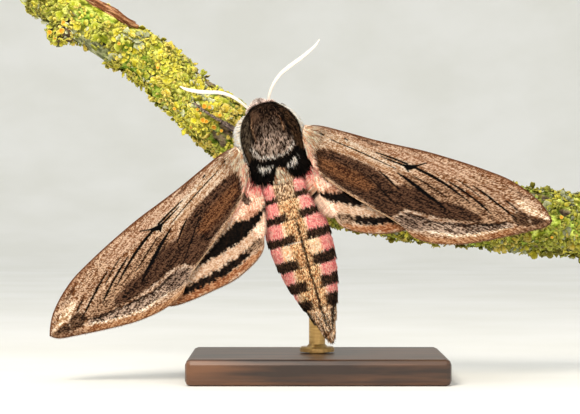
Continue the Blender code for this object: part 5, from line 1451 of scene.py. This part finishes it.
def growDiscs():  # orange fruiting discs with a pale raised rim
    profile = np.array([(0.03, 0.14), (0.7, 0.16), (0.82, 0.32), (0.98, 0.32), (0.95, 0.05), (0.6, -0.3),
                        (0.4, -1.2)])
    turn = np.linspace(0, 2 * math.pi, 16, endpoint=False)
    rng = np.random.default_rng(95)
    parts = []
    for x, z, size in lichen["discsAt"]:
        k = np.hypot(branchLine[:, 0] - x, branchLine[:, 1] - z).argmin()
        side = (z - branchLine[k, 1]) * branchAhead[k, 0] - (x - branchLine[k, 0]) * branchAhead[k, 1]
        angle = math.degrees(math.asin(np.clip(side / branchLine[k, 2], -0.95, 0.95)))
        place, out = onBranch(branchLine[k, 0], angle, np.array(0.0))
        if x < -48.5:  # on the knot
            out = unit(np.array([x, -6.0, z]) - np.array(branch["knotAt"]) * (1, 0, 1))
            place = np.array([x, branch["knotAt"][1] - branch["knotHalf"][1] - 0.5, z])
        out = unit(out + rng.normal(0, 0.16, 3))
        across = unit(np.cross(out, (0, 0, 1)))
        over = np.cross(out, across)
        wavy = 1 + 0.07 * np.sin(3 * turn + rng.uniform(0, 6))
        spoke = across * np.cos(turn)[:, None] + over * np.sin(turn)[:, None]
        rings = np.stack([place + size * (spoke * r * wavy[:, None] + out * h) for r, h in profile])
        tones = np.stack([np.tile(linear(lichen["disc"] if k < 2 else lichen["rim"]), (16, 1))
                          for k in range(len(profile))])
        parts.append((*loft(rings), (tones * rng.uniform(0.8, 1.15)).reshape(-1, 3)))
    points, faces, paint = joined(parts)
    addPiece("lichen_discs", points, faces, lichenCrust, paint)


ground = makeBranch()
for name, *lobes in lichen["lobes"]:
    growLobes(name, ground, *lobes)
growMoss(ground)
growDiscs()
print("branch and lichen ready")

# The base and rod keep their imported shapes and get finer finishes.
# Stained and waxed walnut: long dark grain, satin, a clear wax over open pores
waxedWalnut = tonedMaterial("waxed_walnut", tones=("2A1A10", "6A452B"), figure=(28, 2.2, 2.2),
                            relief=(4, 0.3, 0.3), bumpMm=0.04,
                            Roughness=0.42, IOR=1.5, Coat_Weight=0.15, Coat_Roughness=0.3)
# Turned and brushed brass: fine rings round the rod that stretch its highlights
brushedBrass = tonedMaterial("brushed_brass", tones=("A98350", "C9A66B"), figure=(4, 4, 0.12),
                             relief=(4, 4, 0.12), bumpMm=0.02, Metallic=1.0, Roughness=0.3)
for node, material in (("stand_base", waxedWalnut), ("stand_rod", brushedBrass)):
    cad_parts[node].material_slots[0].material = material
print("stand ready")

studio = {
    "flat": 800.0, "cove": 500.0, "rings": 24, "sides": 96, "world": 0.4,
    "lights": [  # name, place, what it faces, size, watts, tone
        ("key_light", (-130, -350, 300), (-5, -10, 45), 180, 1.95, "FFF6EA"),
        ("fill_light", (240, -360, 150), (-5, -10, 45), 260, 0.4, "FFF9F2"),
        ("room_light", (0, 0, 1600), (0, 0, 0), 2600, 17.0, "FFFFFF"),
    ],
    "cameraAt": (-5.3, -419.8, 33.6), "lens": 133.0,
}
# Studio floor: matt pale paper that bends up far away all round, so that no edge shows from any side
palePaper = tonedMaterial("pale_paper", tones=("EDEDE7", "F4F4F0"), figure=(60, 60, 60), relief=(8, 8, 8),
                          bumpMm=0.02, Roughness=0.9)
bend = np.linspace(0, math.pi / 2, studio["rings"] - 1)
reach = np.concatenate([[20.0], studio["flat"] + studio["cove"] * np.sin(bend)])
rise = np.concatenate([[0.0], studio["cove"] * (1 - np.cos(bend))])
turn = np.linspace(0, 2 * math.pi, studio["sides"], endpoint=False)
floorPoints = np.stack([np.outer(reach, np.cos(turn)), np.outer(reach, np.sin(turn)),
                        np.outer(rise, 1 + 0 * turn)], -1)
index = np.arange(studio["rings"] * studio["sides"]).reshape(-1, studio["sides"])
beside = np.roll(index, -1, axis=1)
quads = np.stack([index[:-1], index[1:], beside[1:], beside[:-1]], -1).reshape(-1, 4)
floorMesh = bpy.data.meshes.new("floor")
floorMesh.from_pydata((floorPoints.reshape(-1, 3) * mm).tolist(), [], [index[0].tolist(), *quads.tolist()])
floorMesh.materials.append(palePaper)
floorMesh.shade_smooth()
floor = bpy.data.objects.new("floor", floorMesh)
bpy.context.scene.collection.objects.link(floor)

for name, place, target, size, watts, tone in studio["lights"]:
    data = bpy.data.lights.new(name, "AREA")
    data.shape, data.size, data.energy = "DISK", size * mm, watts
    data.color = tuple(linear(tone))
    lamp = bpy.data.objects.new(name, data)
    lamp.location = Vector(place) * mm
    lamp.rotation_euler = (Vector(target) - Vector(place)).to_track_quat("-Z", "Y").to_euler()
    bpy.context.scene.collection.objects.link(lamp)

world = bpy.data.worlds.new("studio")
world.use_nodes = True
world.node_tree.nodes["Background"].inputs["Color"].default_value = (*linear("F2F3F0"), 1)
world.node_tree.nodes["Background"].inputs["Strength"].default_value = studio["world"]
bpy.context.scene.world = world
bpy.context.scene.view_settings.view_transform = "Standard"

cameraData = bpy.data.cameras.new("camera")
cameraData.lens, cameraData.sensor_width = studio["lens"], 36.0
cameraData.clip_start, cameraData.clip_end = 0.01, 10.0
camera = bpy.data.objects.new("camera", cameraData)
camera.location = Vector(studio["cameraAt"]) * mm
camera.rotation_euler = (math.radians(90), 0, 0)
bpy.context.scene.collection.objects.link(camera)
bpy.context.scene.camera = camera
print("studio ready")
